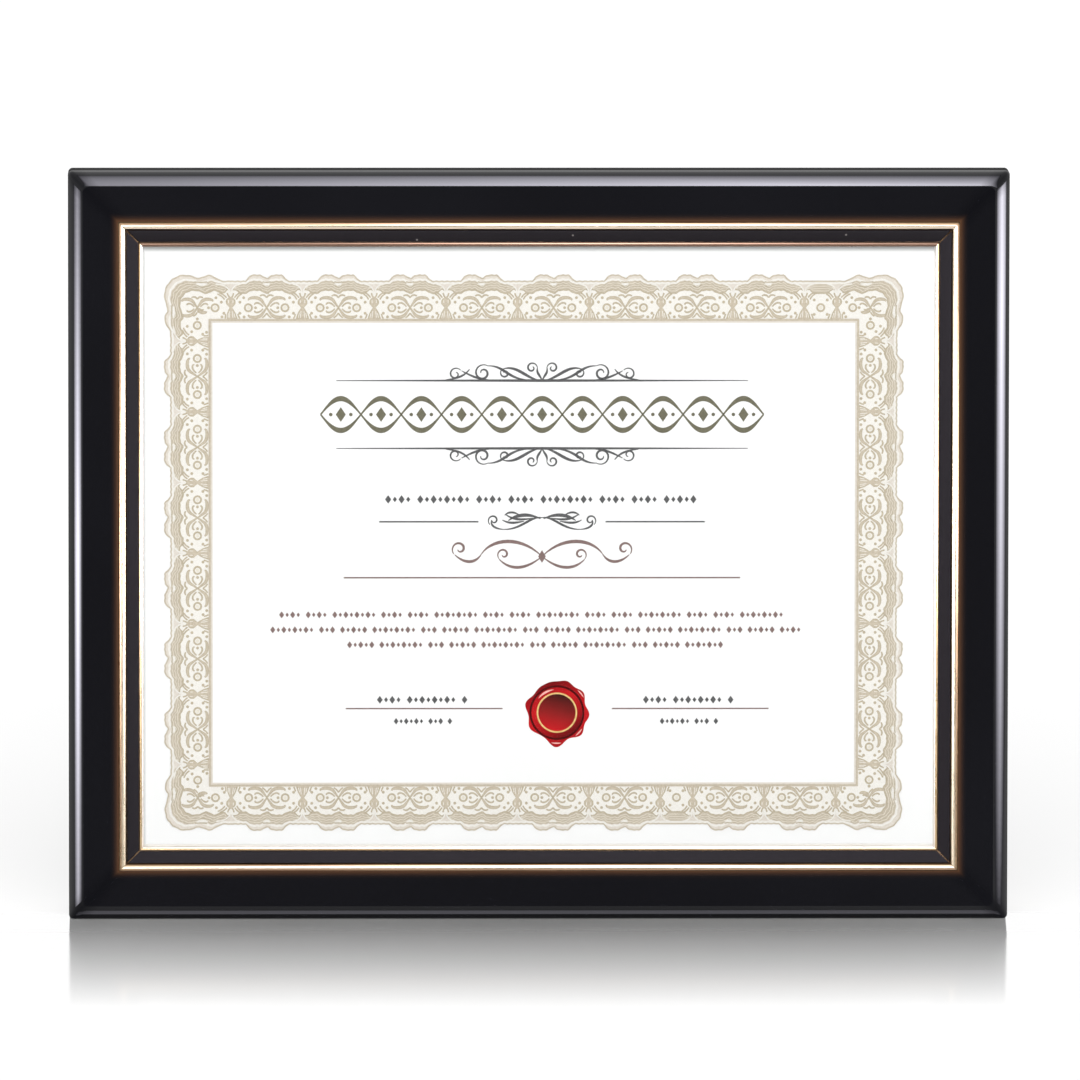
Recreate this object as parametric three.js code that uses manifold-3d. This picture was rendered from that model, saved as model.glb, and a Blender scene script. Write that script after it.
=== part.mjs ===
// Certificate holder: four mitred lacquered rails with a gold and black trim hold a letter sheet
// behind glass, and the frame leans back on a hinged easel leg.
// Millimetres, +Z up, the face of the frame looks towards -Y.
import * as THREE from "three";
import { mergeVertices } from "three/addons/utils/BufferGeometryUtils.js";
import Module from "manifold-3d";

// The sheet, and how much of the frame shows round it
const DOCUMENT_WIDTH = 279.4;
const DOCUMENT_HEIGHT = 215.9;
const SIGHT_OVERLAP = 6.35; // sheet hidden behind the trim on each side
const RAIL_FACE = 16.9; // lacquered face from the outer edge to the trim
const BEAD_WIDTH = 2.8; // outer gold bead of the trim
const BAND_WIDTH = 4.1; // black band between the bead and the lip
const LIP_WIDTH = 1.6; // inner gold lip at the sight edge

// Layers behind the trim, front to back
const LIP_DEPTH = 6.5; // rail face to the rabbet floor
const GLASS_THICKNESS = 2.0;
const SHEET_THICKNESS = 0.3;
const FILLER_THICKNESS = 5.0;
const BACKING_THICKNESS = 3.0;

// Rails
const FRONT_RADIUS = 5.0; // rounded front outer edge
const BACK_RADIUS = 1.5; // eased rear outer edge
const PLAN_RADIUS = 1.5; // outer corners seen from the front

// Trim section
const FLANGE_WIDTH = 3.5; // trim lying on the rail face
const FLANGE_WEB = 0.7; // least thickness of the channel floor
const BEAD_RISE = 2.2; // crest of the bead above the rail face
const LIP_RISE = 0.9; // crest of the lip above the rail face
const BAND_FALL = 1.0; // slope of the channel floor towards the glass
const INLAY_THICKNESS = 0.6;
const INLAY_MITRE_GAP = 0.5; // gold that shows between the inlay ends at a corner

// Corner nails, V-shaped and driven from behind
const CORNER_NAIL_WING = 6.0;
const CORNER_NAIL_SHEET = 0.8;
const CORNER_NAIL_DEPTH = 9.0;
const CORNER_NAIL_INSET = 10.0; // apex from both outer edges
const CORNER_NAIL_SINK = 0.2;
const CORNER_NAIL_ANGLE = THREE.MathUtils.degToRad(58); // wing to the mitre line

// Turn buttons that keep the backing in
const BUTTON_REACH = 12.0; // screw to the tip of the nose
const BUTTON_TAIL_RADIUS = 5.0;
const BUTTON_NOSE_RADIUS = 3.6;
const BUTTON_SHEET = 1.2;
const BUTTON_NOSE_LIFT = 1.2; // finger tip bent up from the backing
const BUTTON_BEND_LENGTH = 3.5; // bent part of the nose
const BUTTON_INSET = 13.0; // screw from the outer edge, so that the button stays inside it all round
const BUTTON_SPREAD = 85.0; // top and bottom buttons from the middle
const BUTTON_DROP = 50.0; // side buttons below the middle
const BUTTON_LIFT = 0.3; // running gap over the backing
const SCREW_RADIUS = 1.5;
const SCREW_LENGTH = 11.0;
const SCREW_TIP = 2.5;
const SCREW_HEAD_RADIUS = 3.2;
const SCREW_HEAD_HEIGHT = 1.9;
const SCREW_HEAD_GAP = 0.2; // head over the button
const RECESS_LENGTH = 3.6; // cross recess in the screw head
const RECESS_WIDTH = 0.8;
const RECESS_DEPTH = 1.0;

// Sawtooth hangers, for landscape and for portrait
const HANGER_LENGTH = 46.0;
const HANGER_HEIGHT = 9.0;
const HANGER_SHEET = 0.8;
const HANGER_RAISE = 2.0; // toothed bridge above the feet
const HANGER_FOOT = 7.0;
const HANGER_RAMP = 2.5;
const HANGER_INSET = 5.5; // upper edge from the outer edge of the rail
const HANGER_CORNER = 2.0;
const TOOTH_COUNT = 9;
const TOOTH_PITCH = 2.8;
const TOOTH_DEPTH = 1.7;
const NAIL_RADIUS = 0.7;
const NAIL_LENGTH = 9.0;
const NAIL_TIP = 1.5;
const NAIL_HEAD_RADIUS = 1.9;
const NAIL_HEAD_HEIGHT = 0.8;

// Easel leg and its hinge
const LEAN = THREE.MathUtils.degToRad(10); // frame from the vertical
const LEG_SPREAD = THREE.MathUtils.degToRad(19); // open leg from the backing
const HINGE_HEIGHT = 165.0; // pin above the lower edge of the frame
const LEG_THICKNESS = 3.0;
const LEG_TOP_WIDTH = 30.0;
const LEG_FOOT_WIDTH = 64.0;
const LEG_NECK = 13.0; // straight part below the pin
const LEG_FOOT_RADIUS = 7.0;
const LEG_HEEL_RADIUS = 1.0;
const LEG_FOLD_GAP = 0.6; // folded leg to the backing
const LEG_STOP_GAP = 0.3; // heel to the backing with the leg open
const HINGE_SHEET = 0.8;
const PIN_RADIUS = 1.0;
const PIN_HEAD_RADIUS = 1.9;
const PIN_HEAD_LENGTH = 0.8;
const LEAF_LENGTH = 20.0;
const LEAF_CORNER = 3.0;
const BRACKET_SHEET = 1.0;
const BRACKET_HEIGHT = 22.0;
const BRACKET_FLANGE = 11.0;
const BRACKET_BEND = 1.6; // outer radius of the bend
const BRACKET_CORNER = 2.5;
const EAR_RADIUS = 3.4; // ear round the pin
const EAR_CLEARANCE = 0.5; // leg to each ear
const RIVET_RADIUS = 1.2;
const RIVET_HEAD_RADIUS = 2.8;
const RIVET_HEAD_HEIGHT = 1.2;
const RIVET_TAIL_RADIUS = 2.1;
const RIVET_TAIL_HEIGHT = 0.7;
const LEG_RIVET_SPREAD = 8.0; // from the middle of the leaf
const LEG_RIVET_DROP = 11.0; // below the pin
const BRACKET_RIVET_SPREAD = 6.5; // above and below the pin

// Clearances
const LAYER_GAP = 0.3; // between the stacked layers
const PANE_MARGIN = 0.4; // glass and boards beyond the sheet on each side
const RABBET_GAP = 0.3; // boards to the rabbet wall
const GLUE_LINE = 0.1; // glued or driven faces
const PIN_GAP = 0.1; // pins and shanks in their holes

// Fineness of the round surfaces
const ARC_STEPS = 4;
const ROUND_SIDES = 24;
const MERGE_DISTANCE = 1e-4;
const CUT_MARGIN = 1.0; // cutters reach this far past what they cut

// Sizes that follow
const TRIM_FACE = BEAD_WIDTH + BAND_WIDTH + LIP_WIDTH;
const SIGHT_INSET = RAIL_FACE + TRIM_FACE;
const FRAME_WIDTH = DOCUMENT_WIDTH - 2 * SIGHT_OVERLAP + 2 * SIGHT_INSET;
const FRAME_HEIGHT = DOCUMENT_HEIGHT - 2 * SIGHT_OVERLAP + 2 * SIGHT_INSET;
const RAIL_INNER = RAIL_FACE + FLANGE_WIDTH;
const RABBET_WALL = SIGHT_INSET - SIGHT_OVERLAP - PANE_MARGIN - RABBET_GAP;
const PANE_WIDTH = DOCUMENT_WIDTH + 2 * PANE_MARGIN;
const PANE_HEIGHT = DOCUMENT_HEIGHT + 2 * PANE_MARGIN;
const GLASS_FRONT = LIP_DEPTH + LAYER_GAP;
const SHEET_FRONT = GLASS_FRONT + GLASS_THICKNESS + LAYER_GAP;
const FILLER_FRONT = SHEET_FRONT + SHEET_THICKNESS + LAYER_GAP;
const BACKING_FRONT = FILLER_FRONT + FILLER_THICKNESS + LAYER_GAP;
const RAIL_DEPTH = BACKING_FRONT + BACKING_THICKNESS;
const BAND_START = RAIL_FACE + BEAD_WIDTH;
const BAND_END = BAND_START + BAND_WIDTH;
const FLOOR_START = -GLUE_LINE - FLANGE_WEB;
const FLOOR_END = FLOOR_START + BAND_FALL;
const KNUCKLE_RADIUS = PIN_RADIUS + PIN_GAP + HINGE_SHEET;
const LEG_OUTER = -KNUCKLE_RADIUS - GLUE_LINE;
const LEG_INNER = LEG_OUTER - LEG_THICKNESS;
const PIN_STANDOFF = LEG_FOLD_GAP - LEG_INNER;
const LEG_HEEL = (PIN_STANDOFF + LEG_INNER * Math.cos(LEG_SPREAD) - LEG_STOP_GAP) / Math.sin(LEG_SPREAD);
const LEG_SLANT = LEG_SPREAD - LEAN;
const EAR_INNER = LEG_TOP_WIDTH / 2 + EAR_CLEARANCE;
const BRACKET_RIVET_X = EAR_INNER + (BRACKET_SHEET + BRACKET_FLANGE) / 2;

const wasm = await Module();
wasm.setup();

// The four sides share one layout: x runs along the side, y into the depth and z inwards.
const SIDES = {
  bottom: { turn: 0, x: 0, z: 0, length: FRAME_WIDTH },
  top: { turn: Math.PI, x: 0, z: FRAME_HEIGHT, length: FRAME_WIDTH },
  left: { turn: Math.PI / 2, x: -FRAME_WIDTH / 2, z: FRAME_HEIGHT / 2, length: FRAME_HEIGHT },
  right: { turn: -Math.PI / 2, x: FRAME_WIDTH / 2, z: FRAME_HEIGHT / 2, length: FRAME_HEIGHT },
};

// Where the turn buttons and hangers sit along their sides
const BUTTONS = [
  { name: "top_left", side: "top", along: BUTTON_SPREAD },
  { name: "top_right", side: "top", along: -BUTTON_SPREAD },
  { name: "bottom_left", side: "bottom", along: -BUTTON_SPREAD },
  { name: "bottom_right", side: "bottom", along: BUTTON_SPREAD },
  { name: "left", side: "left", along: BUTTON_DROP },
  { name: "right", side: "right", along: -BUTTON_DROP },
];
const HANGERS = [
  { name: "top", side: "top" },
  { name: "left", side: "left" },
];
const HANGER_NAIL_X = (HANGER_LENGTH - HANGER_FOOT) / 2;
const HANGER_NAIL_INSET = HANGER_INSET + (HANGER_HEIGHT - TOOTH_DEPTH) / 2;

const FINISHES = {
  lacquer: { color: 0x121215, roughness: 0.08, metalness: 0.0 },
  gold: { color: 0xd8b169, roughness: 0.18, metalness: 1.0 },
  inlay: { color: 0x353136, roughness: 0.5, metalness: 0.0 },
  glass: { color: 0xf4f8f8, roughness: 0.02, metalness: 0.0 },
  paper: { color: 0xfbfaf5, roughness: 0.8, metalness: 0.0 },
  card: { color: 0xcfbfa0, roughness: 0.9, metalness: 0.0 },
  flock: { color: 0x1b1a1c, roughness: 1.0, metalness: 0.0 },
  brass: { color: 0xc9a24f, roughness: 0.3, metalness: 1.0 },
  steel: { color: 0xb9bab8, roughness: 0.35, metalness: 1.0 },
};

// Shared building blocks

function solidFrom(geometry) {
  const bare = geometry.clone();
  bare.deleteAttribute("normal");
  bare.deleteAttribute("uv");
  const merged = mergeVertices(bare, MERGE_DISTANCE);
  const corners = merged.index.array;
  const kept = [];
  for (let i = 0; i < corners.length; i += 3) {
    const [a, b, c] = corners.slice(i, i + 3);
    if (a !== b && b !== c && c !== a) kept.push(a, b, c);
  }
  const vertProperties = new Float32Array(merged.attributes.position.array);
  const triVerts = new Uint32Array(kept);
  return new wasm.Manifold(new wasm.Mesh({ numProp: 3, vertProperties, triVerts }));
}

function geometryFrom(solid) {
  const mesh = solid.getMesh();
  const geometry = new THREE.BufferGeometry();
  geometry.setAttribute("position", new THREE.BufferAttribute(mesh.vertProperties, 3));
  geometry.setIndex(new THREE.BufferAttribute(mesh.triVerts, 1));
  geometry.computeVertexNormals();
  return geometry;
}

function cut(geometry, cutters) {
  let solid = solidFrom(geometry);
  for (const cutter of cutters) solid = solid.subtract(solidFrom(cutter));
  return geometryFrom(solid);
}

function common(first, second) {
  return geometryFrom(solidFrom(first).intersect(solidFrom(second)));
}

function piece(name, geometry, finish) {
  const mesh = new THREE.Mesh(geometry, new THREE.MeshStandardMaterial(FINISHES[finish]));
  mesh.name = name;
  return mesh;
}

// A flat piece whose outline lies in x and z and whose thickness runs along +y from 0.
function plate(outline, thickness) {
  const geometry = new THREE.ExtrudeGeometry(outline, {
    depth: thickness,
    bevelEnabled: false,
    curveSegments: ARC_STEPS,
  });
  return geometry.rotateX(Math.PI / 2).translate(0, thickness, 0);
}

// A piece drawn from the side, with its outline in y and z, that is the same all along x.
function sideProfile(outline, width) {
  const geometry = new THREE.ExtrudeGeometry(outline, {
    depth: width,
    bevelEnabled: false,
    curveSegments: ARC_STEPS,
  });
  const turn = new THREE.Matrix4().set(0, 0, 1, -width / 2, 1, 0, 0, 0, 0, 1, 0, 0, 0, 0, 0, 1);
  return geometry.applyMatrix4(turn);
}

// A bar whose section is drawn as inset and depth, with both ends cut at 45 degrees.
function mitredBar(section, length, endGap) {
  const geometry = new THREE.ExtrudeGeometry(section, {
    depth: 1,
    bevelEnabled: false,
    curveSegments: ARC_STEPS,
  });
  const trim = (endGap / 2) * Math.SQRT2;
  const position = geometry.getAttribute("position");
  for (let i = 0; i < position.count; i++) {
    const inset = position.getX(i);
    const depth = position.getY(i);
    const end = 1 - 2 * position.getZ(i);
    position.setXYZ(i, end * (length / 2 - inset - trim), depth, inset);
  }
  return geometry;
}

// A turned piece on the y axis, from a half profile that starts and ends on the axis.
function turned(profile) {
  return new THREE.LatheGeometry(profile.getPoints(ARC_STEPS), ROUND_SIDES);
}

function drill(radius, from, to) {
  return new THREE.CylinderGeometry(radius, radius, to - from, ROUND_SIDES).translate(0, (from + to) / 2, 0);
}

function roundedRectangle(left, low, right, high, radius) {
  const outline = new THREE.Shape();
  outline.moveTo(left + radius, low);
  outline.lineTo(right - radius, low);
  outline.absarc(right - radius, low + radius, radius, -Math.PI / 2, 0);
  outline.lineTo(right, high - radius);
  outline.absarc(right - radius, high - radius, radius, 0, Math.PI / 2);
  outline.lineTo(left + radius, high);
  outline.absarc(left + radius, high - radius, radius, Math.PI / 2, Math.PI);
  outline.lineTo(left, low + radius);
  outline.absarc(left + radius, low + radius, radius, Math.PI, 1.5 * Math.PI);
  return outline;
}

function setOnSide(object, sideName, along, depth, inset) {
  const side = SIDES[sideName];
  const place = new THREE.Vector3(along, depth, inset);
  place.applyAxisAngle(new THREE.Vector3(0, 1, 0), side.turn);
  object.position.set(side.x + place.x, place.y, side.z + place.z);
  object.rotation.y = side.turn;
  return object;
}

// Rails

function railSection() {
  const section = new THREE.Shape();
  section.moveTo(FRONT_RADIUS, 0);
  section.lineTo(RAIL_INNER, 0);
  section.lineTo(RAIL_INNER, LIP_DEPTH);
  section.lineTo(RABBET_WALL, LIP_DEPTH);
  section.lineTo(RABBET_WALL, RAIL_DEPTH);
  section.lineTo(BACK_RADIUS, RAIL_DEPTH);
  section.absarc(BACK_RADIUS, RAIL_DEPTH - BACK_RADIUS, BACK_RADIUS, Math.PI / 2, Math.PI);
  section.lineTo(0, FRONT_RADIUS);
  section.absarc(FRONT_RADIUS, FRONT_RADIUS, FRONT_RADIUS, Math.PI, 1.5 * Math.PI);
  return section;
}

// A V in plan with its apex on the mitre line, pointing inwards along z.
function cornerNailOutline(clearance) {
  const half = CORNER_NAIL_SHEET / 2 + clearance;
  const wing = CORNER_NAIL_WING + clearance;
  const wingX = wing * Math.sin(CORNER_NAIL_ANGLE);
  const wingZ = -wing * Math.cos(CORNER_NAIL_ANGLE);
  const sideX = half * Math.cos(CORNER_NAIL_ANGLE);
  const sideZ = half * Math.sin(CORNER_NAIL_ANGLE);
  const apex = half / Math.sin(CORNER_NAIL_ANGLE);
  const outline = new THREE.Shape();
  outline.moveTo(0, apex);
  outline.lineTo(-wingX - sideX, wingZ + sideZ);
  outline.lineTo(-wingX + sideX, wingZ - sideZ);
  outline.lineTo(0, -apex);
  outline.lineTo(wingX - sideX, wingZ - sideZ);
  outline.lineTo(wingX + sideX, wingZ + sideZ);
  return outline;
}

function cornerNailSlot(end, length) {
  const depth = CORNER_NAIL_DEPTH + CORNER_NAIL_SINK + GLUE_LINE;
  return plate(cornerNailOutline(GLUE_LINE), depth + CUT_MARGIN)
    .rotateY((-end * Math.PI) / 4)
    .translate(end * (length / 2 - CORNER_NAIL_INSET), RAIL_DEPTH - depth, CORNER_NAIL_INSET);
}

function rail(sideName) {
  const { length } = SIDES[sideName];
  const plan = roundedRectangle(-length / 2, 0, length / 2, 2 * SIGHT_INSET, PLAN_RADIUS);
  const planBlock = plate(plan, RAIL_DEPTH + 2 * CUT_MARGIN).translate(0, -CUT_MARGIN, 0);
  const bar = common(mitredBar(railSection(), length, GLUE_LINE), planBlock);
  const cutters = [cornerNailSlot(1, length), cornerNailSlot(-1, length)];
  for (const button of BUTTONS) {
    if (button.side !== sideName) continue;
    const hole = drill(SCREW_RADIUS + PIN_GAP, -SCREW_LENGTH - GLUE_LINE, CUT_MARGIN);
    cutters.push(hole.translate(button.along, RAIL_DEPTH, BUTTON_INSET));
  }
  for (const hanger of HANGERS) {
    if (hanger.side !== sideName) continue;
    for (const end of [-1, 1]) {
      const hole = drill(NAIL_RADIUS + PIN_GAP, -NAIL_LENGTH - GLUE_LINE, CUT_MARGIN);
      cutters.push(hole.translate(end * HANGER_NAIL_X, RAIL_DEPTH, HANGER_NAIL_INSET));
    }
  }
  return piece(sideName + "_rail", cut(bar, cutters), "lacquer");
}

function cornerNail(vertical, horizontal) {
  const right = horizontal === "right" ? 1 : -1;
  const up = vertical === "top" ? 1 : -1;
  const nail = piece(
    `corner_nail_${vertical}_${horizontal}`,
    plate(cornerNailOutline(0), CORNER_NAIL_DEPTH),
    "steel",
  );
  nail.rotation.y = Math.atan2(-right, -up);
  nail.position.set(
    right * (FRAME_WIDTH / 2 - CORNER_NAIL_INSET),
    RAIL_DEPTH - CORNER_NAIL_SINK - CORNER_NAIL_DEPTH,
    FRAME_HEIGHT / 2 + up * (FRAME_HEIGHT / 2 - CORNER_NAIL_INSET),
  );
  return nail;
}

// Trim: a gold channel with a bead and a lip, and a black inlay between them

function channelSection() {
  const beadRadius = BEAD_WIDTH / 2;
  const beadCentre = beadRadius - BEAD_RISE;
  const lipRadius = LIP_WIDTH / 2;
  const lipCentre = lipRadius - LIP_RISE;
  const section = new THREE.Shape();
  section.moveTo(RAIL_FACE, -GLUE_LINE);
  section.lineTo(RAIL_INNER + GLUE_LINE, -GLUE_LINE);
  section.lineTo(RAIL_INNER + GLUE_LINE, LIP_DEPTH);
  section.lineTo(SIGHT_INSET, LIP_DEPTH);
  section.lineTo(SIGHT_INSET, lipCentre);
  section.absarc(SIGHT_INSET - lipRadius, lipCentre, lipRadius, 0, -Math.PI, true);
  section.lineTo(BAND_END, FLOOR_END);
  section.lineTo(BAND_START, FLOOR_START);
  section.lineTo(BAND_START, beadCentre);
  section.absarc(RAIL_FACE + beadRadius, beadCentre, beadRadius, 0, -Math.PI, true);
  return section;
}

function inlaySection() {
  const seatStart = FLOOR_START - GLUE_LINE;
  const seatEnd = FLOOR_END - GLUE_LINE;
  const section = new THREE.Shape();
  section.moveTo(BAND_START + GLUE_LINE, seatStart);
  section.lineTo(BAND_START + GLUE_LINE, seatStart - INLAY_THICKNESS);
  section.lineTo(BAND_END - GLUE_LINE, seatEnd - INLAY_THICKNESS);
  section.lineTo(BAND_END - GLUE_LINE, seatEnd);
  return section;
}

function trimChannel(sideName) {
  const bar = mitredBar(channelSection(), SIDES[sideName].length, GLUE_LINE);
  return piece(sideName + "_trim_channel", bar, "gold");
}

function trimInlay(sideName) {
  const bar = mitredBar(inlaySection(), SIDES[sideName].length, INLAY_MITRE_GAP);
  return piece(sideName + "_trim_inlay", bar, "inlay");
}

// The stack behind the trim

function layer(name, width, height, front, thickness, finish) {
  const sheet = piece(name, new THREE.BoxGeometry(width, thickness, height), finish);
  sheet.position.set(0, front + thickness / 2, FRAME_HEIGHT / 2);
  return sheet;
}

// Rivet on the y axis: the head stands on y = 0 and the tail is formed below the grip.
function rivetProfile(grip, clearance, past) {
  const shank = RIVET_RADIUS + clearance;
  const tail = RIVET_TAIL_RADIUS + clearance;
  const end = -grip - RIVET_TAIL_HEIGHT - past;
  const profile = new THREE.Path();
  profile.moveTo(0, end);
  profile.lineTo(tail, end);
  profile.lineTo(tail, -grip + clearance);
  profile.lineTo(shank, -grip + clearance);
  profile.lineTo(shank, GLUE_LINE);
  return profile;
}

function rivet(name, grip) {
  const profile = rivetProfile(grip, 0, 0);
  const crown = GLUE_LINE + RIVET_HEAD_HEIGHT;
  profile.lineTo(RIVET_HEAD_RADIUS, GLUE_LINE);
  profile.quadraticCurveTo(RIVET_HEAD_RADIUS, crown, 0, crown);
  return piece(name, turned(profile), "brass");
}

// The hole for a rivet, with the recess that takes its tail.
function rivetHole(grip) {
  const profile = rivetProfile(grip, PIN_GAP, CUT_MARGIN);
  profile.lineTo(RIVET_RADIUS + PIN_GAP, CUT_MARGIN);
  profile.lineTo(0, CUT_MARGIN);
  return turned(profile);
}

const BRACKET_GRIP = GLUE_LINE + BRACKET_SHEET + BACKING_THICKNESS - RIVET_TAIL_HEIGHT - PIN_GAP;
const LEG_GRIP = HINGE_SHEET + GLUE_LINE + LEG_THICKNESS - RIVET_TAIL_HEIGHT - PIN_GAP;

const BRACKET_RIVETS = [
  { name: "bracket_rivet_upper_left", x: -BRACKET_RIVET_X, rise: BRACKET_RIVET_SPREAD },
  { name: "bracket_rivet_lower_left", x: -BRACKET_RIVET_X, rise: -BRACKET_RIVET_SPREAD },
  { name: "bracket_rivet_upper_right", x: BRACKET_RIVET_X, rise: BRACKET_RIVET_SPREAD },
  { name: "bracket_rivet_lower_right", x: BRACKET_RIVET_X, rise: -BRACKET_RIVET_SPREAD },
];

function backingBoard() {
  const board = new THREE.BoxGeometry(PANE_WIDTH, BACKING_THICKNESS, PANE_HEIGHT);
  const middle = FRAME_HEIGHT / 2;
  const headSeat = BACKING_THICKNESS / 2 + GLUE_LINE + BRACKET_SHEET;
  const holes = BRACKET_RIVETS.map(({ x, rise }) =>
    rivetHole(BRACKET_GRIP).translate(x, headSeat, HINGE_HEIGHT + rise - middle),
  );
  const backing = piece("backing_board", cut(board, holes), "flock");
  backing.position.set(0, BACKING_FRONT + BACKING_THICKNESS / 2, middle);
  return backing;
}

// Turn buttons

function turnButton(name) {
  const plan = new THREE.Shape();
  const noseCentre = BUTTON_REACH - BUTTON_NOSE_RADIUS;
  const tilt = Math.asin((BUTTON_TAIL_RADIUS - BUTTON_NOSE_RADIUS) / noseCentre);
  plan.absarc(0, noseCentre, BUTTON_NOSE_RADIUS, tilt, Math.PI - tilt);
  plan.absarc(0, 0, BUTTON_TAIL_RADIUS, Math.PI - tilt, 2 * Math.PI + tilt);
  const bendStart = BUTTON_REACH - BUTTON_BEND_LENGTH;
  const side = new THREE.Shape();
  side.moveTo(0, -BUTTON_TAIL_RADIUS - CUT_MARGIN);
  side.lineTo(BUTTON_SHEET, -BUTTON_TAIL_RADIUS - CUT_MARGIN);
  side.lineTo(BUTTON_SHEET, bendStart);
  side.lineTo(BUTTON_SHEET + BUTTON_NOSE_LIFT, BUTTON_REACH);
  side.lineTo(BUTTON_NOSE_LIFT, BUTTON_REACH);
  side.lineTo(0, bendStart);
  const height = BUTTON_SHEET + BUTTON_NOSE_LIFT;
  const tall = plate(plan, height + 2 * CUT_MARGIN).translate(0, -CUT_MARGIN, 0);
  const blank = common(tall, sideProfile(side, 2 * BUTTON_TAIL_RADIUS + CUT_MARGIN));
  const hole = drill(SCREW_RADIUS + PIN_GAP, -CUT_MARGIN, BUTTON_SHEET + CUT_MARGIN);
  return piece("turn_button_" + name, cut(blank, [hole]), "brass");
}

function buttonScrew(name) {
  const seat = BUTTON_LIFT + BUTTON_SHEET + SCREW_HEAD_GAP;
  const crown = seat + SCREW_HEAD_HEIGHT;
  const profile = new THREE.Path();
  profile.moveTo(0, -SCREW_LENGTH);
  profile.lineTo(SCREW_RADIUS, -SCREW_LENGTH + SCREW_TIP);
  profile.lineTo(SCREW_RADIUS, seat);
  profile.lineTo(SCREW_HEAD_RADIUS, seat);
  profile.quadraticCurveTo(SCREW_HEAD_RADIUS, crown, 0, crown);
  const recessHeight = RECESS_DEPTH + CUT_MARGIN;
  const recessMiddle = crown - RECESS_DEPTH + recessHeight / 2;
  const across = new THREE.BoxGeometry(RECESS_LENGTH, recessHeight, RECESS_WIDTH).translate(0, recessMiddle, 0);
  const along = across.clone().rotateY(Math.PI / 2);
  return piece("button_screw_" + name, cut(turned(profile), [across, along]), "steel");
}

// Sawtooth hangers

function hangerPlan() {
  const half = HANGER_LENGTH / 2;
  const toothedEdge = HANGER_HEIGHT;
  const firstTooth = (TOOTH_COUNT * TOOTH_PITCH) / 2;
  const plan = new THREE.Shape();
  plan.moveTo(-half + HANGER_CORNER, 0);
  plan.lineTo(half - HANGER_CORNER, 0);
  plan.absarc(half - HANGER_CORNER, HANGER_CORNER, HANGER_CORNER, -Math.PI / 2, 0);
  plan.lineTo(half, toothedEdge - TOOTH_DEPTH - HANGER_CORNER);
  plan.absarc(half - HANGER_CORNER, toothedEdge - TOOTH_DEPTH - HANGER_CORNER, HANGER_CORNER, 0, Math.PI / 2);
  for (let i = 0; i < TOOTH_COUNT; i++) {
    const start = firstTooth - i * TOOTH_PITCH;
    plan.lineTo(start, toothedEdge - TOOTH_DEPTH);
    plan.lineTo(start - TOOTH_PITCH / 2, toothedEdge);
  }
  plan.lineTo(-firstTooth, toothedEdge - TOOTH_DEPTH);
  plan.lineTo(-half + HANGER_CORNER, toothedEdge - TOOTH_DEPTH);
  plan.absarc(
    -half + HANGER_CORNER,
    toothedEdge - TOOTH_DEPTH - HANGER_CORNER,
    HANGER_CORNER,
    Math.PI / 2,
    Math.PI,
  );
  plan.lineTo(-half, HANGER_CORNER);
  plan.absarc(-half + HANGER_CORNER, HANGER_CORNER, HANGER_CORNER, Math.PI, 1.5 * Math.PI);
  return plan;
}

// The strip seen along its length: two feet and a raised bridge.
function hangerStrip() {
  const half = HANGER_LENGTH / 2 + CUT_MARGIN;
  const rampFoot = HANGER_LENGTH / 2 - HANGER_FOOT;
  const rampHead = rampFoot - HANGER_RAMP;
  const strip = new THREE.Shape();
  strip.moveTo(-half, 0);
  strip.lineTo(-rampFoot, 0);
  strip.lineTo(-rampHead, HANGER_RAISE);
  strip.lineTo(rampHead, HANGER_RAISE);
  strip.lineTo(rampFoot, 0);
  strip.lineTo(half, 0);
  strip.lineTo(half, HANGER_SHEET);
  strip.lineTo(rampFoot, HANGER_SHEET);
  strip.lineTo(rampHead, HANGER_RAISE + HANGER_SHEET);
  strip.lineTo(-rampHead, HANGER_RAISE + HANGER_SHEET);
  strip.lineTo(-rampFoot, HANGER_SHEET);
  strip.lineTo(-half, HANGER_SHEET);
  const width = HANGER_HEIGHT + 2 * CUT_MARGIN;
  return new THREE.ExtrudeGeometry(strip, { depth: width, bevelEnabled: false }).translate(0, 0, -CUT_MARGIN);
}

function hanger(name) {
  const height = HANGER_RAISE + HANGER_SHEET;
  const tall = plate(hangerPlan(), height + 2 * CUT_MARGIN).translate(0, -CUT_MARGIN, 0);
  const blank = common(tall, hangerStrip());
  const holes = [-1, 1].map((end) =>
    drill(NAIL_RADIUS + PIN_GAP, -CUT_MARGIN, HANGER_SHEET + CUT_MARGIN).translate(
      end * HANGER_NAIL_X,
      0,
      HANGER_NAIL_INSET - HANGER_INSET,
    ),
  );
  return piece(name + "_hanger", cut(blank, holes), "steel");
}

function hangerNail(name) {
  const seat = HANGER_SHEET + 2 * GLUE_LINE;
  const crown = seat + NAIL_HEAD_HEIGHT;
  const profile = new THREE.Path();
  profile.moveTo(0, -NAIL_LENGTH);
  profile.lineTo(NAIL_RADIUS, -NAIL_LENGTH + NAIL_TIP);
  profile.lineTo(NAIL_RADIUS, seat);
  profile.lineTo(NAIL_HEAD_RADIUS, seat);
  profile.quadraticCurveTo(NAIL_HEAD_RADIUS, crown, 0, crown);
  return piece(name, turned(profile), "steel");
}

// Easel hinge and leg. Their origin is the middle of the pin: y points away from the backing.

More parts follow.
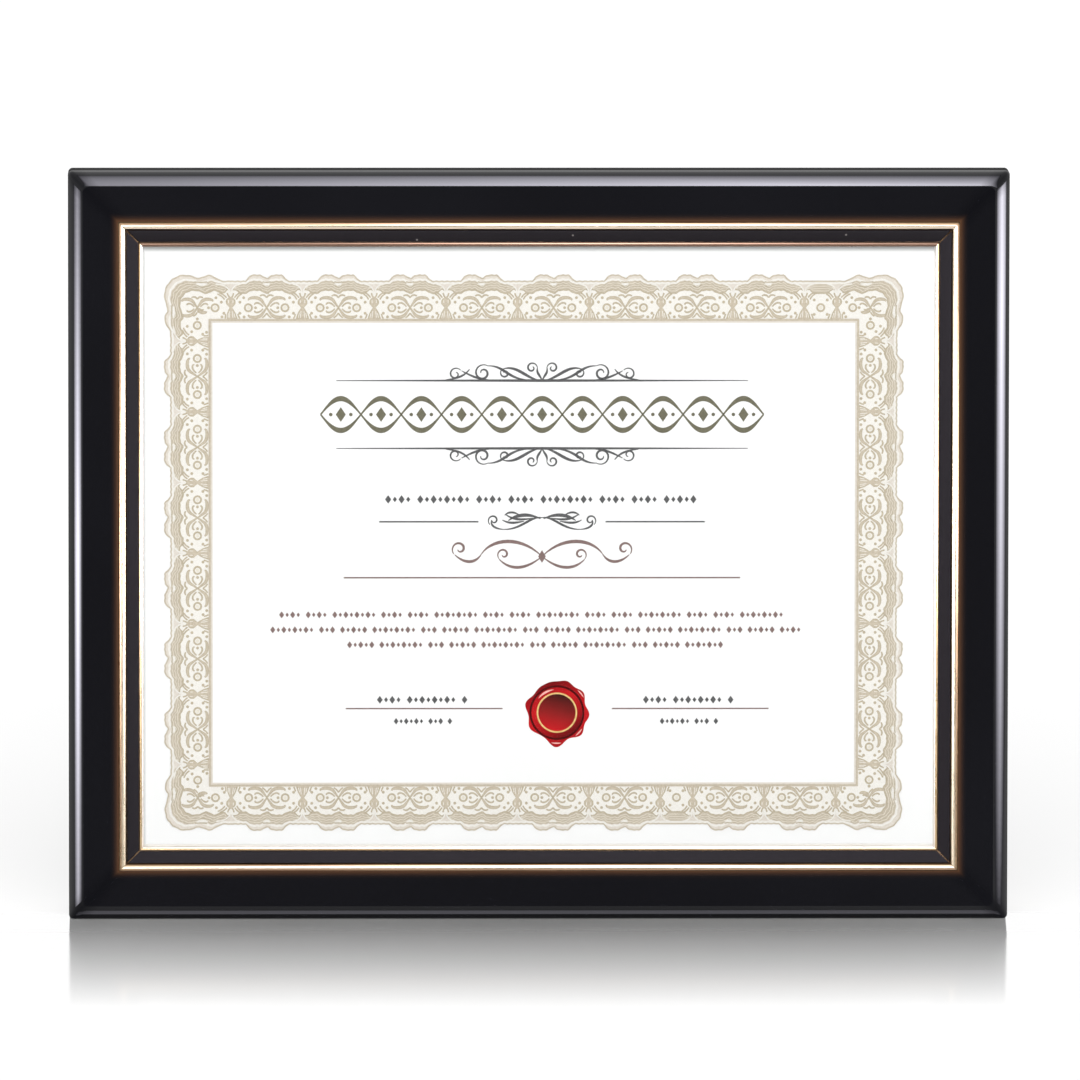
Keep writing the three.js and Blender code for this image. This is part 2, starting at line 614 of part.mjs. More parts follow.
function hingeBracket(name) {
  const sheetBack = -PIN_STANDOFF + GLUE_LINE;
  const innerBend = BRACKET_BEND - BRACKET_SHEET;
  const earTop = EAR_RADIUS;
  const angle = new THREE.Shape();
  angle.moveTo(EAR_INNER, earTop);
  angle.lineTo(EAR_INNER, sheetBack + BRACKET_BEND);
  angle.absarc(EAR_INNER + BRACKET_BEND, sheetBack + BRACKET_BEND, BRACKET_BEND, Math.PI, 1.5 * Math.PI);
  angle.lineTo(EAR_INNER + BRACKET_SHEET + BRACKET_FLANGE, sheetBack);
  angle.lineTo(EAR_INNER + BRACKET_SHEET + BRACKET_FLANGE, sheetBack + BRACKET_SHEET);
  angle.lineTo(EAR_INNER + BRACKET_BEND, sheetBack + BRACKET_SHEET);
  angle.absarc(
    EAR_INNER + BRACKET_BEND,
    sheetBack + BRACKET_BEND,
    innerBend,
    1.5 * Math.PI,
    Math.PI,
    true,
  );
  angle.lineTo(EAR_INNER + BRACKET_SHEET, earTop);
  const half = BRACKET_HEIGHT / 2;
  const bent = new THREE.ExtrudeGeometry(angle, {
    depth: BRACKET_HEIGHT + 4 * CUT_MARGIN,
    bevelEnabled: false,
    curveSegments: ARC_STEPS,
  }).translate(0, 0, -half - 2 * CUT_MARGIN);

  // Seen from the side, the ear narrows from the bend to a round top at the pin.
  const earFoot = sheetBack + BRACKET_BEND;
  const earSide = new THREE.Shape();
  earSide.moveTo(sheetBack - CUT_MARGIN, -half - CUT_MARGIN);
  earSide.lineTo(earFoot, -half - CUT_MARGIN);
  earSide.lineTo(earFoot, -half);
  earSide.lineTo(0, -EAR_RADIUS);
  earSide.absarc(0, 0, EAR_RADIUS, -Math.PI / 2, Math.PI / 2);
  earSide.lineTo(earFoot, half);
  earSide.lineTo(earFoot, half + CUT_MARGIN);
  earSide.lineTo(sheetBack - CUT_MARGIN, half + CUT_MARGIN);
  const flangeEnd = EAR_INNER + BRACKET_SHEET + BRACKET_FLANGE;
  const shaped = common(bent, sideProfile(earSide, 2 * (flangeEnd + CUT_MARGIN)));

  // Seen from behind, the corners of the flange are round.
  const plan = roundedRectangle(EAR_INNER - 2 * BRACKET_CORNER, -half, flangeEnd, half, BRACKET_CORNER);
  const planDepth = earTop - sheetBack + 2 * CUT_MARGIN;
  const blank = common(shaped, plate(plan, planDepth).translate(0, sheetBack - CUT_MARGIN, 0));

  const pinHole = drill(PIN_RADIUS + PIN_GAP, EAR_INNER - CUT_MARGIN, EAR_INNER + BRACKET_SHEET + CUT_MARGIN);
  const rivetHoles = [-1, 1].map((end) =>
    drill(RIVET_RADIUS + PIN_GAP, sheetBack - CUT_MARGIN, sheetBack + BRACKET_SHEET + CUT_MARGIN).translate(
      BRACKET_RIVET_X,
      0,
      end * BRACKET_RIVET_SPREAD,
    ),
  );
  return piece(name, cut(blank, [pinHole.rotateZ(-Math.PI / 2), ...rivetHoles]), "brass");
}

function hingePin() {
  const earOuter = EAR_INNER + BRACKET_SHEET + PIN_GAP;
  const profile = new THREE.Path();
  profile.moveTo(0, -earOuter - PIN_HEAD_LENGTH);
  profile.quadraticCurveTo(PIN_HEAD_RADIUS, -earOuter - PIN_HEAD_LENGTH, PIN_HEAD_RADIUS, -earOuter);
  profile.lineTo(PIN_RADIUS, -earOuter);
  profile.lineTo(PIN_RADIUS, earOuter);
  profile.lineTo(PIN_HEAD_RADIUS, earOuter);
  profile.quadraticCurveTo(PIN_HEAD_RADIUS, earOuter + PIN_HEAD_LENGTH, 0, earOuter + PIN_HEAD_LENGTH);
  return piece("hinge_pin", turned(profile).rotateZ(-Math.PI / 2), "steel");
}

// The leaf is rolled round the pin at its upper end and lies on the outer face of the leg.
function hingeLeaf() {
  const leafOuter = -KNUCKLE_RADIUS + HINGE_SHEET;
  const rollStart = -Math.sqrt(KNUCKLE_RADIUS ** 2 - leafOuter ** 2);
  const half = LEG_TOP_WIDTH / 2;
  const reach = half + CUT_MARGIN;
  const side = new THREE.Shape();
  side.moveTo(-KNUCKLE_RADIUS, -LEAF_LENGTH - CUT_MARGIN);
  side.lineTo(leafOuter, -LEAF_LENGTH - CUT_MARGIN);
  side.lineTo(leafOuter, rollStart);
  side.absarc(0, 0, KNUCKLE_RADIUS, Math.atan2(rollStart, leafOuter), Math.PI);
  const rolled = sideProfile(side, 2 * reach);
  const plan = roundedRectangle(-half, -LEAF_LENGTH, half, KNUCKLE_RADIUS + 2 * LEAF_CORNER, LEAF_CORNER);
  const planDepth = 2 * (KNUCKLE_RADIUS + CUT_MARGIN);
  const planBlock = plate(plan, planDepth).translate(0, -planDepth / 2, 0);
  const bore = drill(PIN_RADIUS + PIN_GAP, -reach, reach).rotateZ(-Math.PI / 2);
  const holes = [-1, 1].map((end) =>
    drill(RIVET_RADIUS + PIN_GAP, -KNUCKLE_RADIUS - CUT_MARGIN, leafOuter + CUT_MARGIN).translate(
      end * LEG_RIVET_SPREAD,
      0,
      -LEG_RIVET_DROP,
    ),
  );
  return piece("hinge_leaf", cut(common(rolled, planBlock), [bore, ...holes]), "brass");
}

// The floor is met by the rounded rear lower edge of the frame, so the leg reaches to that level.
function legReach() {
  const floor = BACK_RADIUS * Math.cos(LEAN) - (RAIL_DEPTH - BACK_RADIUS) * Math.sin(LEAN) - BACK_RADIUS;
  const pin = HINGE_HEIGHT * Math.cos(LEAN) - (RAIL_DEPTH + PIN_STANDOFF) * Math.sin(LEAN);
  return (pin - floor) / Math.cos(LEG_SLANT);
}

function easelLeg() {
  const reach = legReach();
  const neck = LEG_TOP_WIDTH / 2;
  const foot = LEG_FOOT_WIDTH / 2;
  const radius = LEG_FOOT_RADIUS;
  const flare = Math.atan2(foot - neck, reach - LEG_NECK);
  const round = radius * Math.tan(Math.PI / 4 + flare / 2);
  const outline = new THREE.Shape();
  outline.moveTo(-foot + round, -reach);
  outline.lineTo(foot - round, -reach);
  outline.absarc(foot - round, -reach + radius, radius, -Math.PI / 2, flare);
  outline.lineTo(neck, -LEG_NECK);
  outline.lineTo(neck, LEG_HEEL - LEG_HEEL_RADIUS);
  outline.absarc(neck - LEG_HEEL_RADIUS, LEG_HEEL - LEG_HEEL_RADIUS, LEG_HEEL_RADIUS, 0, Math.PI / 2);
  outline.lineTo(-neck + LEG_HEEL_RADIUS, LEG_HEEL);
  outline.absarc(-neck + LEG_HEEL_RADIUS, LEG_HEEL - LEG_HEEL_RADIUS, LEG_HEEL_RADIUS, Math.PI / 2, Math.PI);
  outline.lineTo(-neck, -LEG_NECK);
  outline.absarc(-foot + round, -reach + radius, radius, Math.PI - flare, 1.5 * Math.PI);
  const board = plate(outline, LEG_THICKNESS).translate(0, LEG_INNER, 0);

  // The foot slopes across its thickness, so that it lies flat on the floor with the leg open.
  const position = board.getAttribute("position");
  const middle = -(LEG_NECK + reach) / 2;
  for (let i = 0; i < position.count; i++) {
    const z = position.getZ(i);
    if (z < middle) position.setZ(i, z - position.getY(i) * Math.tan(LEG_SLANT));
  }
  const holes = [-1, 1].map((end) =>
    rivetHole(LEG_GRIP).translate(end * LEG_RIVET_SPREAD, -KNUCKLE_RADIUS + HINGE_SHEET, -LEG_RIVET_DROP),
  );
  return piece("easel_leg", cut(board, holes), "flock");
}

// Assembly

const frame = new THREE.Group();
for (const sideName of Object.keys(SIDES)) {
  for (const bar of [rail(sideName), trimChannel(sideName), trimInlay(sideName)]) {
    frame.add(setOnSide(bar, sideName, 0, 0, 0));
  }
}
for (const vertical of ["top", "bottom"]) {
  for (const horizontal of ["left", "right"]) frame.add(cornerNail(vertical, horizontal));
}
frame.add(
  layer("glass", PANE_WIDTH, PANE_HEIGHT, GLASS_FRONT, GLASS_THICKNESS, "glass"),
  layer("certificate_sheet", DOCUMENT_WIDTH, DOCUMENT_HEIGHT, SHEET_FRONT, SHEET_THICKNESS, "paper"),
  layer("filler_board", PANE_WIDTH, PANE_HEIGHT, FILLER_FRONT, FILLER_THICKNESS, "card"),
  backingBoard(),
);
for (const { name, side, along } of BUTTONS) {
  frame.add(setOnSide(turnButton(name), side, along, RAIL_DEPTH + BUTTON_LIFT, BUTTON_INSET));
  frame.add(setOnSide(buttonScrew(name), side, along, RAIL_DEPTH, BUTTON_INSET));
}
for (const { name, side } of HANGERS) {
  frame.add(setOnSide(hanger(name), side, 0, RAIL_DEPTH + GLUE_LINE, HANGER_INSET));
  for (const [end, place] of [[-1, "a"], [1, "b"]]) {
    const nail = hangerNail(`${name}_hanger_nail_${place}`);
    frame.add(setOnSide(nail, side, end * HANGER_NAIL_X, RAIL_DEPTH, HANGER_NAIL_INSET));
  }
}

const hinge = new THREE.Group();
hinge.position.set(0, RAIL_DEPTH + PIN_STANDOFF, HINGE_HEIGHT);
const rightBracket = hingeBracket("hinge_bracket_right");
const leftBracket = hingeBracket("hinge_bracket_left");
leftBracket.rotation.y = Math.PI;
leftBracket.geometry = rightBracket.geometry;
hinge.add(rightBracket, leftBracket, hingePin());
for (const { name, x, rise } of BRACKET_RIVETS) {
  const fastener = rivet(name, BRACKET_GRIP);
  fastener.position.set(x, -PIN_STANDOFF + GLUE_LINE + BRACKET_SHEET, rise);
  hinge.add(fastener);
}

const leg = new THREE.Group();
leg.rotation.x = LEG_SPREAD;
leg.add(easelLeg(), hingeLeaf());
for (const [end, place] of [[-1, "left"], [1, "right"]]) {
  const fastener = rivet("leg_rivet_" + place, LEG_GRIP);
  fastener.position.set(end * LEG_RIVET_SPREAD, -KNUCKLE_RADIUS + HINGE_SHEET, -LEG_RIVET_DROP);
  leg.add(fastener);
}
hinge.add(leg);
frame.add(hinge);

// The frame leans back. The origin is under the middle of the whole object, on the floor.
frame.rotation.x = -LEAN;
const reach = new THREE.Box3().setFromObject(frame, true);
frame.position.set(0, -(reach.min.y + reach.max.y) / 2, -reach.min.z);

const holder = new THREE.Group();
holder.add(frame);
export default holder;
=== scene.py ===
"""Looks of the certificate holder: lacquer, gold trim, glass, printed sheet, flocked back, hardware."""

import math

import bmesh
import bpy
from mathutils import Matrix, Quaternion, Vector

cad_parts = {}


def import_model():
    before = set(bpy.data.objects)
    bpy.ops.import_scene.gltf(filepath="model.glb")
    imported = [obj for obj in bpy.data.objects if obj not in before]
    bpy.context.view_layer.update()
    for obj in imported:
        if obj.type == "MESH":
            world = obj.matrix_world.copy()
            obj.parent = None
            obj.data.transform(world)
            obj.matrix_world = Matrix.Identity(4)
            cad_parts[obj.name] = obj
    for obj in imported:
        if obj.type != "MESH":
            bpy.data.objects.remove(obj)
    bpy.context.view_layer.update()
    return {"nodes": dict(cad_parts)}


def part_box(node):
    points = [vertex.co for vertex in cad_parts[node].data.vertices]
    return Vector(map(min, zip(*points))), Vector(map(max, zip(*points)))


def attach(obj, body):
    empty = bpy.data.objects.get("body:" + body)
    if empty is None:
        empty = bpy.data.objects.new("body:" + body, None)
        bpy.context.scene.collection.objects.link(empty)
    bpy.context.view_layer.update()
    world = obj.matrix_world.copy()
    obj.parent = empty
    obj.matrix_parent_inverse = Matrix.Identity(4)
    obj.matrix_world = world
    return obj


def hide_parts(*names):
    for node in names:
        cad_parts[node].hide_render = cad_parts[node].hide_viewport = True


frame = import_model()
NODES = frame["nodes"]

# Sizes of the frame in millimetres, as in the solids
FRAME_WIDTH = 317.5
FRAME_HEIGHT = 254.0
MIDDLE = FRAME_HEIGHT / 2
RAIL_DEPTH = 18.0
RAIL_INNER = 20.4
RABBET_WALL = 18.35
TRIM_EDGE = 16.9
SIGHT_INSET = 25.4
LIP_WIDTH = 1.6
LIP_DEPTH = 6.5
FRONT_RADIUS = 5.0
BACK_RADIUS = 1.5
PLAN_RADIUS = 1.5
GLASS_MIDDLE = 7.8
SHEET_FRONT = 9.1
LEAN = math.radians(10)
MM = 0.001
QUADRANTS = ((1, 1), (-1, 1), (-1, -1), (1, -1))
SHARP_ANGLE = math.radians(32)  # edges sharper than this aren't shaded smooth

# The frame's own directions: across, into the depth and up the face
DEPTH_AXIS = Vector((0.0, math.cos(LEAN), -math.sin(LEAN)))
UP_AXIS = Vector((0.0, math.sin(LEAN), math.cos(LEAN)))


def frame_matrix():
    """Takes (across, depth, height) on the leaning frame to the row frame, from where the glass is."""
    low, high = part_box("glass")
    start = (low + high) / 2 - DEPTH_AXIS * GLASS_MIDDLE * MM - UP_AXIS * MIDDLE * MM
    rows = [[1.0, 0.0, 0.0, start.x]]
    rows.append([0.0, DEPTH_AXIS.y, UP_AXIS.y, start.y])
    rows.append([0.0, DEPTH_AXIS.z, UP_AXIS.z, start.z])
    rows.append([0.0, 0.0, 0.0, 1.0])
    return Matrix(rows)


ON_FRAME = frame_matrix()


# Shader building blocks


class Nodes:
    """The node tree of a material or world, with short calls for the nodes used here."""

    def __init__(self, owner, output):
        owner.use_nodes = True
        self.owner = owner
        self.tree = owner.node_tree
        self.tree.nodes.clear()
        self.output = self.tree.nodes.new(output)

    def add(self, kind, **inputs):
        node = self.tree.nodes.new(kind)
        for name, value in inputs.items():
            self.set(node, name.replace("_", " "), value)
        return node

    def set(self, node, name, value):
        socket = node.inputs[name]
        if isinstance(value, bpy.types.NodeSocket):
            self.tree.links.new(value, socket)
        else:
            socket.default_value = value

    def place(self, stretch=(1.0, 1.0, 1.0)):
        """Coordinates on the piece, in metres times the stretch."""
        coordinate = self.add("ShaderNodeTexCoord")
        mapping = self.add("ShaderNodeMapping", Vector=coordinate.outputs["Object"], Scale=stretch)
        return mapping.outputs["Vector"]

    def noise(self, scale, detail=3.0, stretch=(1.0, 1.0, 1.0)):
        place = self.place(stretch)
        return self.add("ShaderNodeTexNoise", Vector=place, Scale=scale, Detail=detail).outputs["Fac"]

    def ramp(self, factor, low, high, start, end):
        """Maps factor from low..high to start..end."""
        node = self.add("ShaderNodeMapRange", Value=factor, From_Min=low, From_Max=high)
        self.set(node, "To Min", start)
        self.set(node, "To Max", end)
        return node.outputs["Result"]

    def colours(self, factor, *stops):
        """Colours along factor, as (position, colour) stops."""
        node = self.add("ShaderNodeValToRGB", Fac=factor)
        ramp = node.color_ramp
        while len(ramp.elements) < len(stops):
            ramp.elements.new(1.0)
        for element, (position, colour) in zip(ramp.elements, stops):
            element.position = position
            element.color = (*colour, 1.0)
        return node.outputs["Color"]

    def math(self, operation, first, second=0.0):
        node = self.add("ShaderNodeMath")
        node.operation = operation
        for socket, value in zip(node.inputs, (first, second)):
            if isinstance(value, bpy.types.NodeSocket):
                self.tree.links.new(value, socket)
            else:
                socket.default_value = value
        return node.outputs["Value"]

    def bump(self, height, strength, distance):
        node = self.add("ShaderNodeBump", Height=height, Strength=strength, Distance=distance)
        return node.outputs["Normal"]

    def position(self):
        """Place on the piece, as separate X, Y and Z."""
        place = self.add("ShaderNodeTexCoord").outputs["Object"]
        return self.add("ShaderNodeSeparateXYZ", Vector=place).outputs

    def blend(self, factor, first, second):
        """Colour that goes from first to second with factor."""
        node = self.add("ShaderNodeMix", Factor=factor)
        node.data_type = "RGBA"
        for name, colour in (("A", first), ("B", second)):
            socket = next(s for s in node.inputs if s.name == name and s.type == "RGBA")
            if isinstance(colour, bpy.types.NodeSocket):
                self.tree.links.new(colour, socket)
            else:
                socket.default_value = (*colour, 1.0)
        return next(s for s in node.outputs if s.type == "RGBA")

    def mix(self, factor, first, second):
        """Shader that goes from first to second with factor."""
        node = self.add("ShaderNodeMixShader", Fac=factor)
        self.tree.links.new(first.outputs[0], node.inputs[1])
        self.tree.links.new(second.outputs[0], node.inputs[2])
        self.finish(node.outputs["Shader"])

    def principled(self, **inputs):
        shader = self.add("ShaderNodeBsdfPrincipled", **inputs)
        self.finish(shader.outputs["BSDF"])
        return self.owner

    def finish(self, shader):
        self.tree.links.new(shader, self.output.inputs["Surface"])


def material_nodes(name):
    return Nodes(bpy.data.materials.new(name), "ShaderNodeOutputMaterial")


def along_axis(n, axis):
    """How far a place on the piece lies along an axis without an X part."""
    place = n.position()
    return n.math("ADD", n.math("MULTIPLY", place["Y"], axis.y), n.math("MULTIPLY", place["Z"], axis.z))


def outside(n, inset, start):
    """How far a place lies outside an inset rectangle of the face, across and upwards.

    Start is where the foot of the frame lies in the piece's own coordinates.
    """
    across = n.math("SUBTRACT", n.math("ABSOLUTE", n.position()["X"]), (FRAME_WIDTH / 2 - inset) * MM)
    rise = n.math("SUBTRACT", along_axis(n, UP_AXIS), UP_AXIS.dot(start) + MIDDLE * MM)
    upright = n.math("SUBTRACT", n.math("ABSOLUTE", rise), (MIDDLE - inset) * MM)
    return across, upright


GOLD_REFLECTION_REACH = 3.6  # how far the painted reflection of the gold trim reaches over the lacquer
MITRE_FADE = 6.0  # over which the gloss goes down towards a mitre


def lacquer():
    """Black polyester lacquer with a painted reflection of the gold trim, a brown tint on the face next to
    it; its gloss fades towards the mitres.
    """
    n = material_nodes("piano_black_lacquer")
    cloud = n.noise(9.0, 2.0)
    peel = n.noise(420.0, 1.0)
    across, upright = outside(n, TRIM_EDGE, Vector((0.0, 0.0, 0.0)))
    near = n.ramp(n.math("MAXIMUM", across, upright), 0.0, GOLD_REFLECTION_REACH * MM, 1.0, 0.0)
    from_mitre = n.math("ABSOLUTE", n.math("SUBTRACT", across, upright))
    front = n.math("LESS_THAN", along_axis(n, DEPTH_AXIS), 1.0 * MM)
    # painted reflection: the gold bead's glow painted as a brown tint on the front of the lacquer, strongest
    # at the trim
    painted_gold_reflection = n.math("MULTIPLY", n.math("POWER", near, 3.5), front)
    black = n.colours(cloud, (0.3, (0.0045, 0.0045, 0.006)), (0.7, (0.007, 0.0072, 0.0095)))
    return n.principled(
        Base_Color=n.blend(painted_gold_reflection, black, (0.12, 0.056, 0.028)),
        Roughness=n.ramp(cloud, 0.3, 0.7, 0.03, 0.06),
        Normal=n.bump(peel, 0.015, 0.0002),
        Specular_IOR_Level=n.ramp(from_mitre, 0.0, MITRE_FADE * MM, 0.15, 0.5),
    )


# Painted light in the trim's colours: a painted reflection of the white sheet, a painted highlight on the
# bead's crest and painted shade towards the creases
REFLECTED_SHEET_WHITE = (0.93, 0.90, 0.85)
CREST_HIGHLIGHT_GOLD = (0.92, 0.79, 0.58)
GOLD = (0.84, 0.62, 0.34)
FLANK_HALF_SHADE = (0.46, 0.30, 0.185)
CREASE_SHADE = (0.16, 0.085, 0.04)
SHADED_GOLD = (0.215, 0.135, 0.09)
WIDE_CREST_HIGHLIGHT = (6.4, 7.2)
NARROW_CREST_HIGHLIGHT = (6.9, 7.2)  # the painted highlight on the lower bead is a finer line


def trim_tones(start, end):
    """Tones from the sight edge outwards, in millimetres: a painted reflection of the white sheet on the lip,
    painted shade towards the creases and a painted highlight on the bead's crest from start to end.
    """
    # painted reflection of the sheet on the lip, then painted shade where it meets the strip
    lip = [(0.0, REFLECTED_SHEET_WHITE), (0.45, REFLECTED_SHEET_WHITE), (0.75, GOLD), (1.1, GOLD), (1.4, CREASE_SHADE)]
    # painted shade in the creases either side of the bead and a painted highlight on its crest
    bead = [(start - 0.5, CREASE_SHADE), (start, CREST_HIGHLIGHT_GOLD), (end, CREST_HIGHLIGHT_GOLD), (end + 0.4, FLANK_HALF_SHADE), (8.3, CREASE_SHADE)]
    return lip + bead


def gold(name, stretch, crest, painted_shade_below=None):
    """Gold anodised trim with fine draw lines, its colour carrying painted light: a pale painted highlight on
    the crests, a painted reflection of the sheet on the lip and browner painted shade in the creases.

    The crest is where the bead is painted palest. Below a height where one is given, the trim is darker with
    painted shade.
    """
    n = material_nodes(name)
    lines = n.noise(900.0, 2.0, stretch)
    tones = trim_tones(*crest)
    width = tones[-1][0]
    stops = [(place / width, tone) for place, tone in tones]
    from_sight_edge = n.math("MAXIMUM", *outside(n, SIGHT_INSET, ON_FRAME.translation))
    colour = n.colours(n.math("DIVIDE", from_sight_edge, width * MM), *stops)
    colour = n.blend(n.ramp(n.noise(30.0, 2.0), 0.3, 0.7, 0.0, 0.2), colour, GOLD)
    if painted_shade_below is not None:
        # painted shade: the top lip is darkened where the bead above it shades it
        under = n.ramp(n.position()["Z"], painted_shade_below - 0.2 * MM, painted_shade_below + 0.3 * MM, 1.0, 0.0)
        colour = n.blend(under, colour, SHADED_GOLD)
    return n.principled(
        Base_Color=colour,
        Metallic=1.0,
        Roughness=n.ramp(lines, 0.3, 0.7, 0.25, 0.32),
        Normal=n.bump(lines, 0.002, 0.0001),
    )


def inlay():
    """Satin black strip with a few specks of dust."""
    n = material_nodes("satin_black_strip")
    grain = n.noise(700.0, 3.0)
    specks = n.add("ShaderNodeTexVoronoi", Vector=n.place(), Scale=210.0)
    speck = n.ramp(specks.outputs["Distance"], 0.05, 0.085, 1.0, 0.0)
    rare = n.math("GREATER_THAN", n.noise(160.0, 1.0), 0.66)
    dust = n.math("MULTIPLY", speck, rare)
    return n.principled(
        Base_Color=n.colours(dust, (0.0, (0.012, 0.0095, 0.0115)), (1.0, (0.22, 0.20, 0.19))),
        Roughness=n.ramp(grain, 0.3, 0.7, 0.50, 0.62),
        Normal=n.bump(grain, 0.05, 0.0001),
        Specular_IOR_Level=0.08,
    )


def clear_glass():
    """Low-reflection glass that lets the light of the lamps through to the sheet."""
    n = material_nodes("low_reflection_glass")
    smear = n.noise(14.0, 2.0)
    pane = n.add(
        "ShaderNodeBsdfPrincipled",
        Base_Color=(0.945, 0.95, 0.945, 1.0),
        Roughness=n.ramp(smear, 0.3, 0.7, 0.0, 0.012),
        IOR=1.1,
        Transmission_Weight=1.0,
    )
    through = n.add("ShaderNodeBsdfTransparent")
    path = n.add("ShaderNodeLightPath")
    open_ray = n.math("MAXIMUM", path.outputs["Is Shadow Ray"], path.outputs["Is Diffuse Ray"])
    n.mix(open_ray, pane, through)
    return n.owner


def paper():
    """White card, a little grey in the shade close under the upper and left lip."""
    n = material_nodes("certificate_paper")
    fibre = n.noise(650.0, 4.0)
    cloud = n.noise(25.0, 3.0)
    white = n.colours(cloud, (0.3, (0.95, 0.95, 0.948)), (0.7, (0.97, 0.97, 0.968)))
    place = n.position()
    edge_x = (SIGHT_INSET - FRAME_WIDTH / 2) * MM
    edge_z = (ON_FRAME @ (Vector((0.0, SHEET_FRONT, FRAME_HEIGHT - SIGHT_INSET)) * MM)).z
    from_left = n.ramp(place["X"], edge_x, edge_x + 0.8 * MM, 0.5, 0.0)
    from_top = n.ramp(place["Z"], edge_z - 2.6 * MM, edge_z - 1.1 * MM, 0.0, 1.0)
    return n.principled(
        Base_Color=n.blend(n.math("MAXIMUM", from_left, from_top), white, (0.31, 0.31, 0.31)),
        Roughness=n.ramp(fibre, 0.3, 0.7, 0.68, 0.82),
        Normal=n.bump(fibre, 0.06, 0.0001),
        Specular_IOR_Level=0.1,
    )


def ink(name, light, dark):
    """Printing ink with a little mottle."""
    n = material_nodes(name)
    mottle = n.noise(1500.0, 2.0)
    return n.principled(
        Base_Color=n.colours(mottle, (0.35, dark), (0.65, light)),
        Roughness=n.ramp(mottle, 0.3, 0.7, 0.55, 0.7),
        Specular_IOR_Level=0.1,
    )


def slanted_ink(name, direction, reach, *stops):
    """Ink that changes along a direction (across, up) on the piece, over plus and minus the reach."""
    n = material_nodes(name)
    place = n.position()
    across = n.math("MULTIPLY", place["X"], direction[0])
    along = n.math("ADD", across, n.math("MULTIPLY", place["Z"], direction[1]))
    mottle = n.math("MULTIPLY", n.noise(420.0, 2.0), 0.12)
    level = n.math("ADD", n.ramp(along, -reach * MM, reach * MM, -0.06, 0.94), mottle)
    return n.principled(Base_Color=n.colours(level, *stops), Roughness=0.5, Specular_IOR_Level=0.1)


def flock():
    """Black flocked paper: short upright pile with a soft sheen."""
    n = material_nodes("black_flock")
    pile = n.noise(2600.0, 2.0)
    brushed = n.noise(40.0, 3.0)
    return n.principled(
        Base_Color=n.colours(brushed, (0.3, (0.010, 0.010, 0.011)), (0.7, (0.021, 0.020, 0.022))),
        Roughness=n.ramp(brushed, 0.3, 0.7, 0.88, 1.0),
        Normal=n.bump(pile, 0.5, 0.0003),
        Sheen_Weight=0.45,
        Sheen_Roughness=0.4,
    )


def card():
    n = material_nodes("grey_board")
    fibre = n.noise(240.0, 5.0, (1.0, 1.0, 3.0))
    return n.principled(
        Base_Color=n.colours(fibre, (0.3, (0.34, 0.27, 0.19)), (0.7, (0.50, 0.41, 0.30))),
        Roughness=n.ramp(fibre, 0.3, 0.7, 0.85, 0.95),
        Normal=n.bump(fibre, 0.2, 0.0003),
    )


def brass():
    n = material_nodes("brass_plate")
    tarnish = n.noise(160.0, 4.0)
    grain = n.noise(1500.0, 2.0, (1.0, 1.0, 0.12))
    return n.principled(
        Base_Color=n.colours(
            tarnish, (0.25, (0.52, 0.35, 0.13)), (0.5, (0.72, 0.51, 0.21)), (0.75, (0.80, 0.60, 0.28))
        ),
        Metallic=1.0,
        Roughness=n.ramp(tarnish, 0.25, 0.75, 0.42, 0.24),
        Normal=n.bump(grain, 0.08, 0.0001),
    )


def steel():
    n = material_nodes("zinc_plate")
    spangle = n.noise(380.0, 3.0)
    return n.principled(
        Base_Color=n.colours(spangle, (0.3, (0.50, 0.51, 0.52)), (0.7, (0.66, 0.66, 0.63))),
        Metallic=1.0,
        Roughness=n.ramp(spangle, 0.3, 0.7, 0.26, 0.42),
        Normal=n.bump(spangle, 0.06, 0.0001),
    )


# Building blocks for pieces


def let_light_in(obj):
    """Keeps a piece round the window from shading the sheet, which lies in full light."""
    obj.visible_diffuse = False
    obj.visible_shadow = False


def piece(name, vertices, faces, material, slot, origin=(0.0, 0.0, 0.0)):
    """A mesh on the leaning frame. Vertices are (across, depth, height) from the origin, in millimetres."""
    turn = ON_FRAME.to_3x3()
    mesh = bpy.data.meshes.new(name)
    mesh.from_pydata([turn @ Vector(v) * MM for v in vertices], [], faces)
    mesh.update()
    mesh.materials.append(material)
    obj = bpy.data.objects.new(name, mesh)
    bpy.context.scene.collection.objects.link(obj)
    obj.matrix_world = Matrix.Translation(ON_FRAME @ (Vector(origin) * MM))
    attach(obj, "frame")
    return obj


def smoothing_nodes():
    """Geometry nodes that shade round surfaces smooth and keep real edges sharp."""
    tree = bpy.data.node_groups.new("smooth_round_surfaces", "GeometryNodeTree")
    tree.interface.new_socket("Geometry", in_out="INPUT", socket_type="NodeSocketGeometry")
    tree.interface.new_socket("Geometry", in_out="OUTPUT", socket_type="NodeSocketGeometry")
    start = tree.nodes.new("NodeGroupInput")
    end = tree.nodes.new("NodeGroupOutput")
    faces = tree.nodes.new("GeometryNodeSetShadeSmooth")
    faces.domain = "FACE"
    edges = tree.nodes.new("GeometryNodeSetShadeSmooth")
    edges.domain = "EDGE"
    edges.inputs["Shade Smooth"].default_value = False
    angle = tree.nodes.new("GeometryNodeInputMeshEdgeAngle")
    sharp = tree.nodes.new("FunctionNodeCompare")
    sharp.operation = "GREATER_THAN"
    sharp.inputs[1].default_value = SHARP_ANGLE
    tree.links.new(start.outputs[0], faces.inputs["Geometry"])
    tree.links.new(faces.outputs["Geometry"], edges.inputs["Geometry"])
    tree.links.new(angle.outputs["Unsigned Angle"], sharp.inputs[0])
    tree.links.new(sharp.outputs["Result"], edges.inputs["Selection"])
    tree.links.new(edges.outputs["Geometry"], end.inputs[0])
    return tree


SMOOTHING = smoothing_nodes()


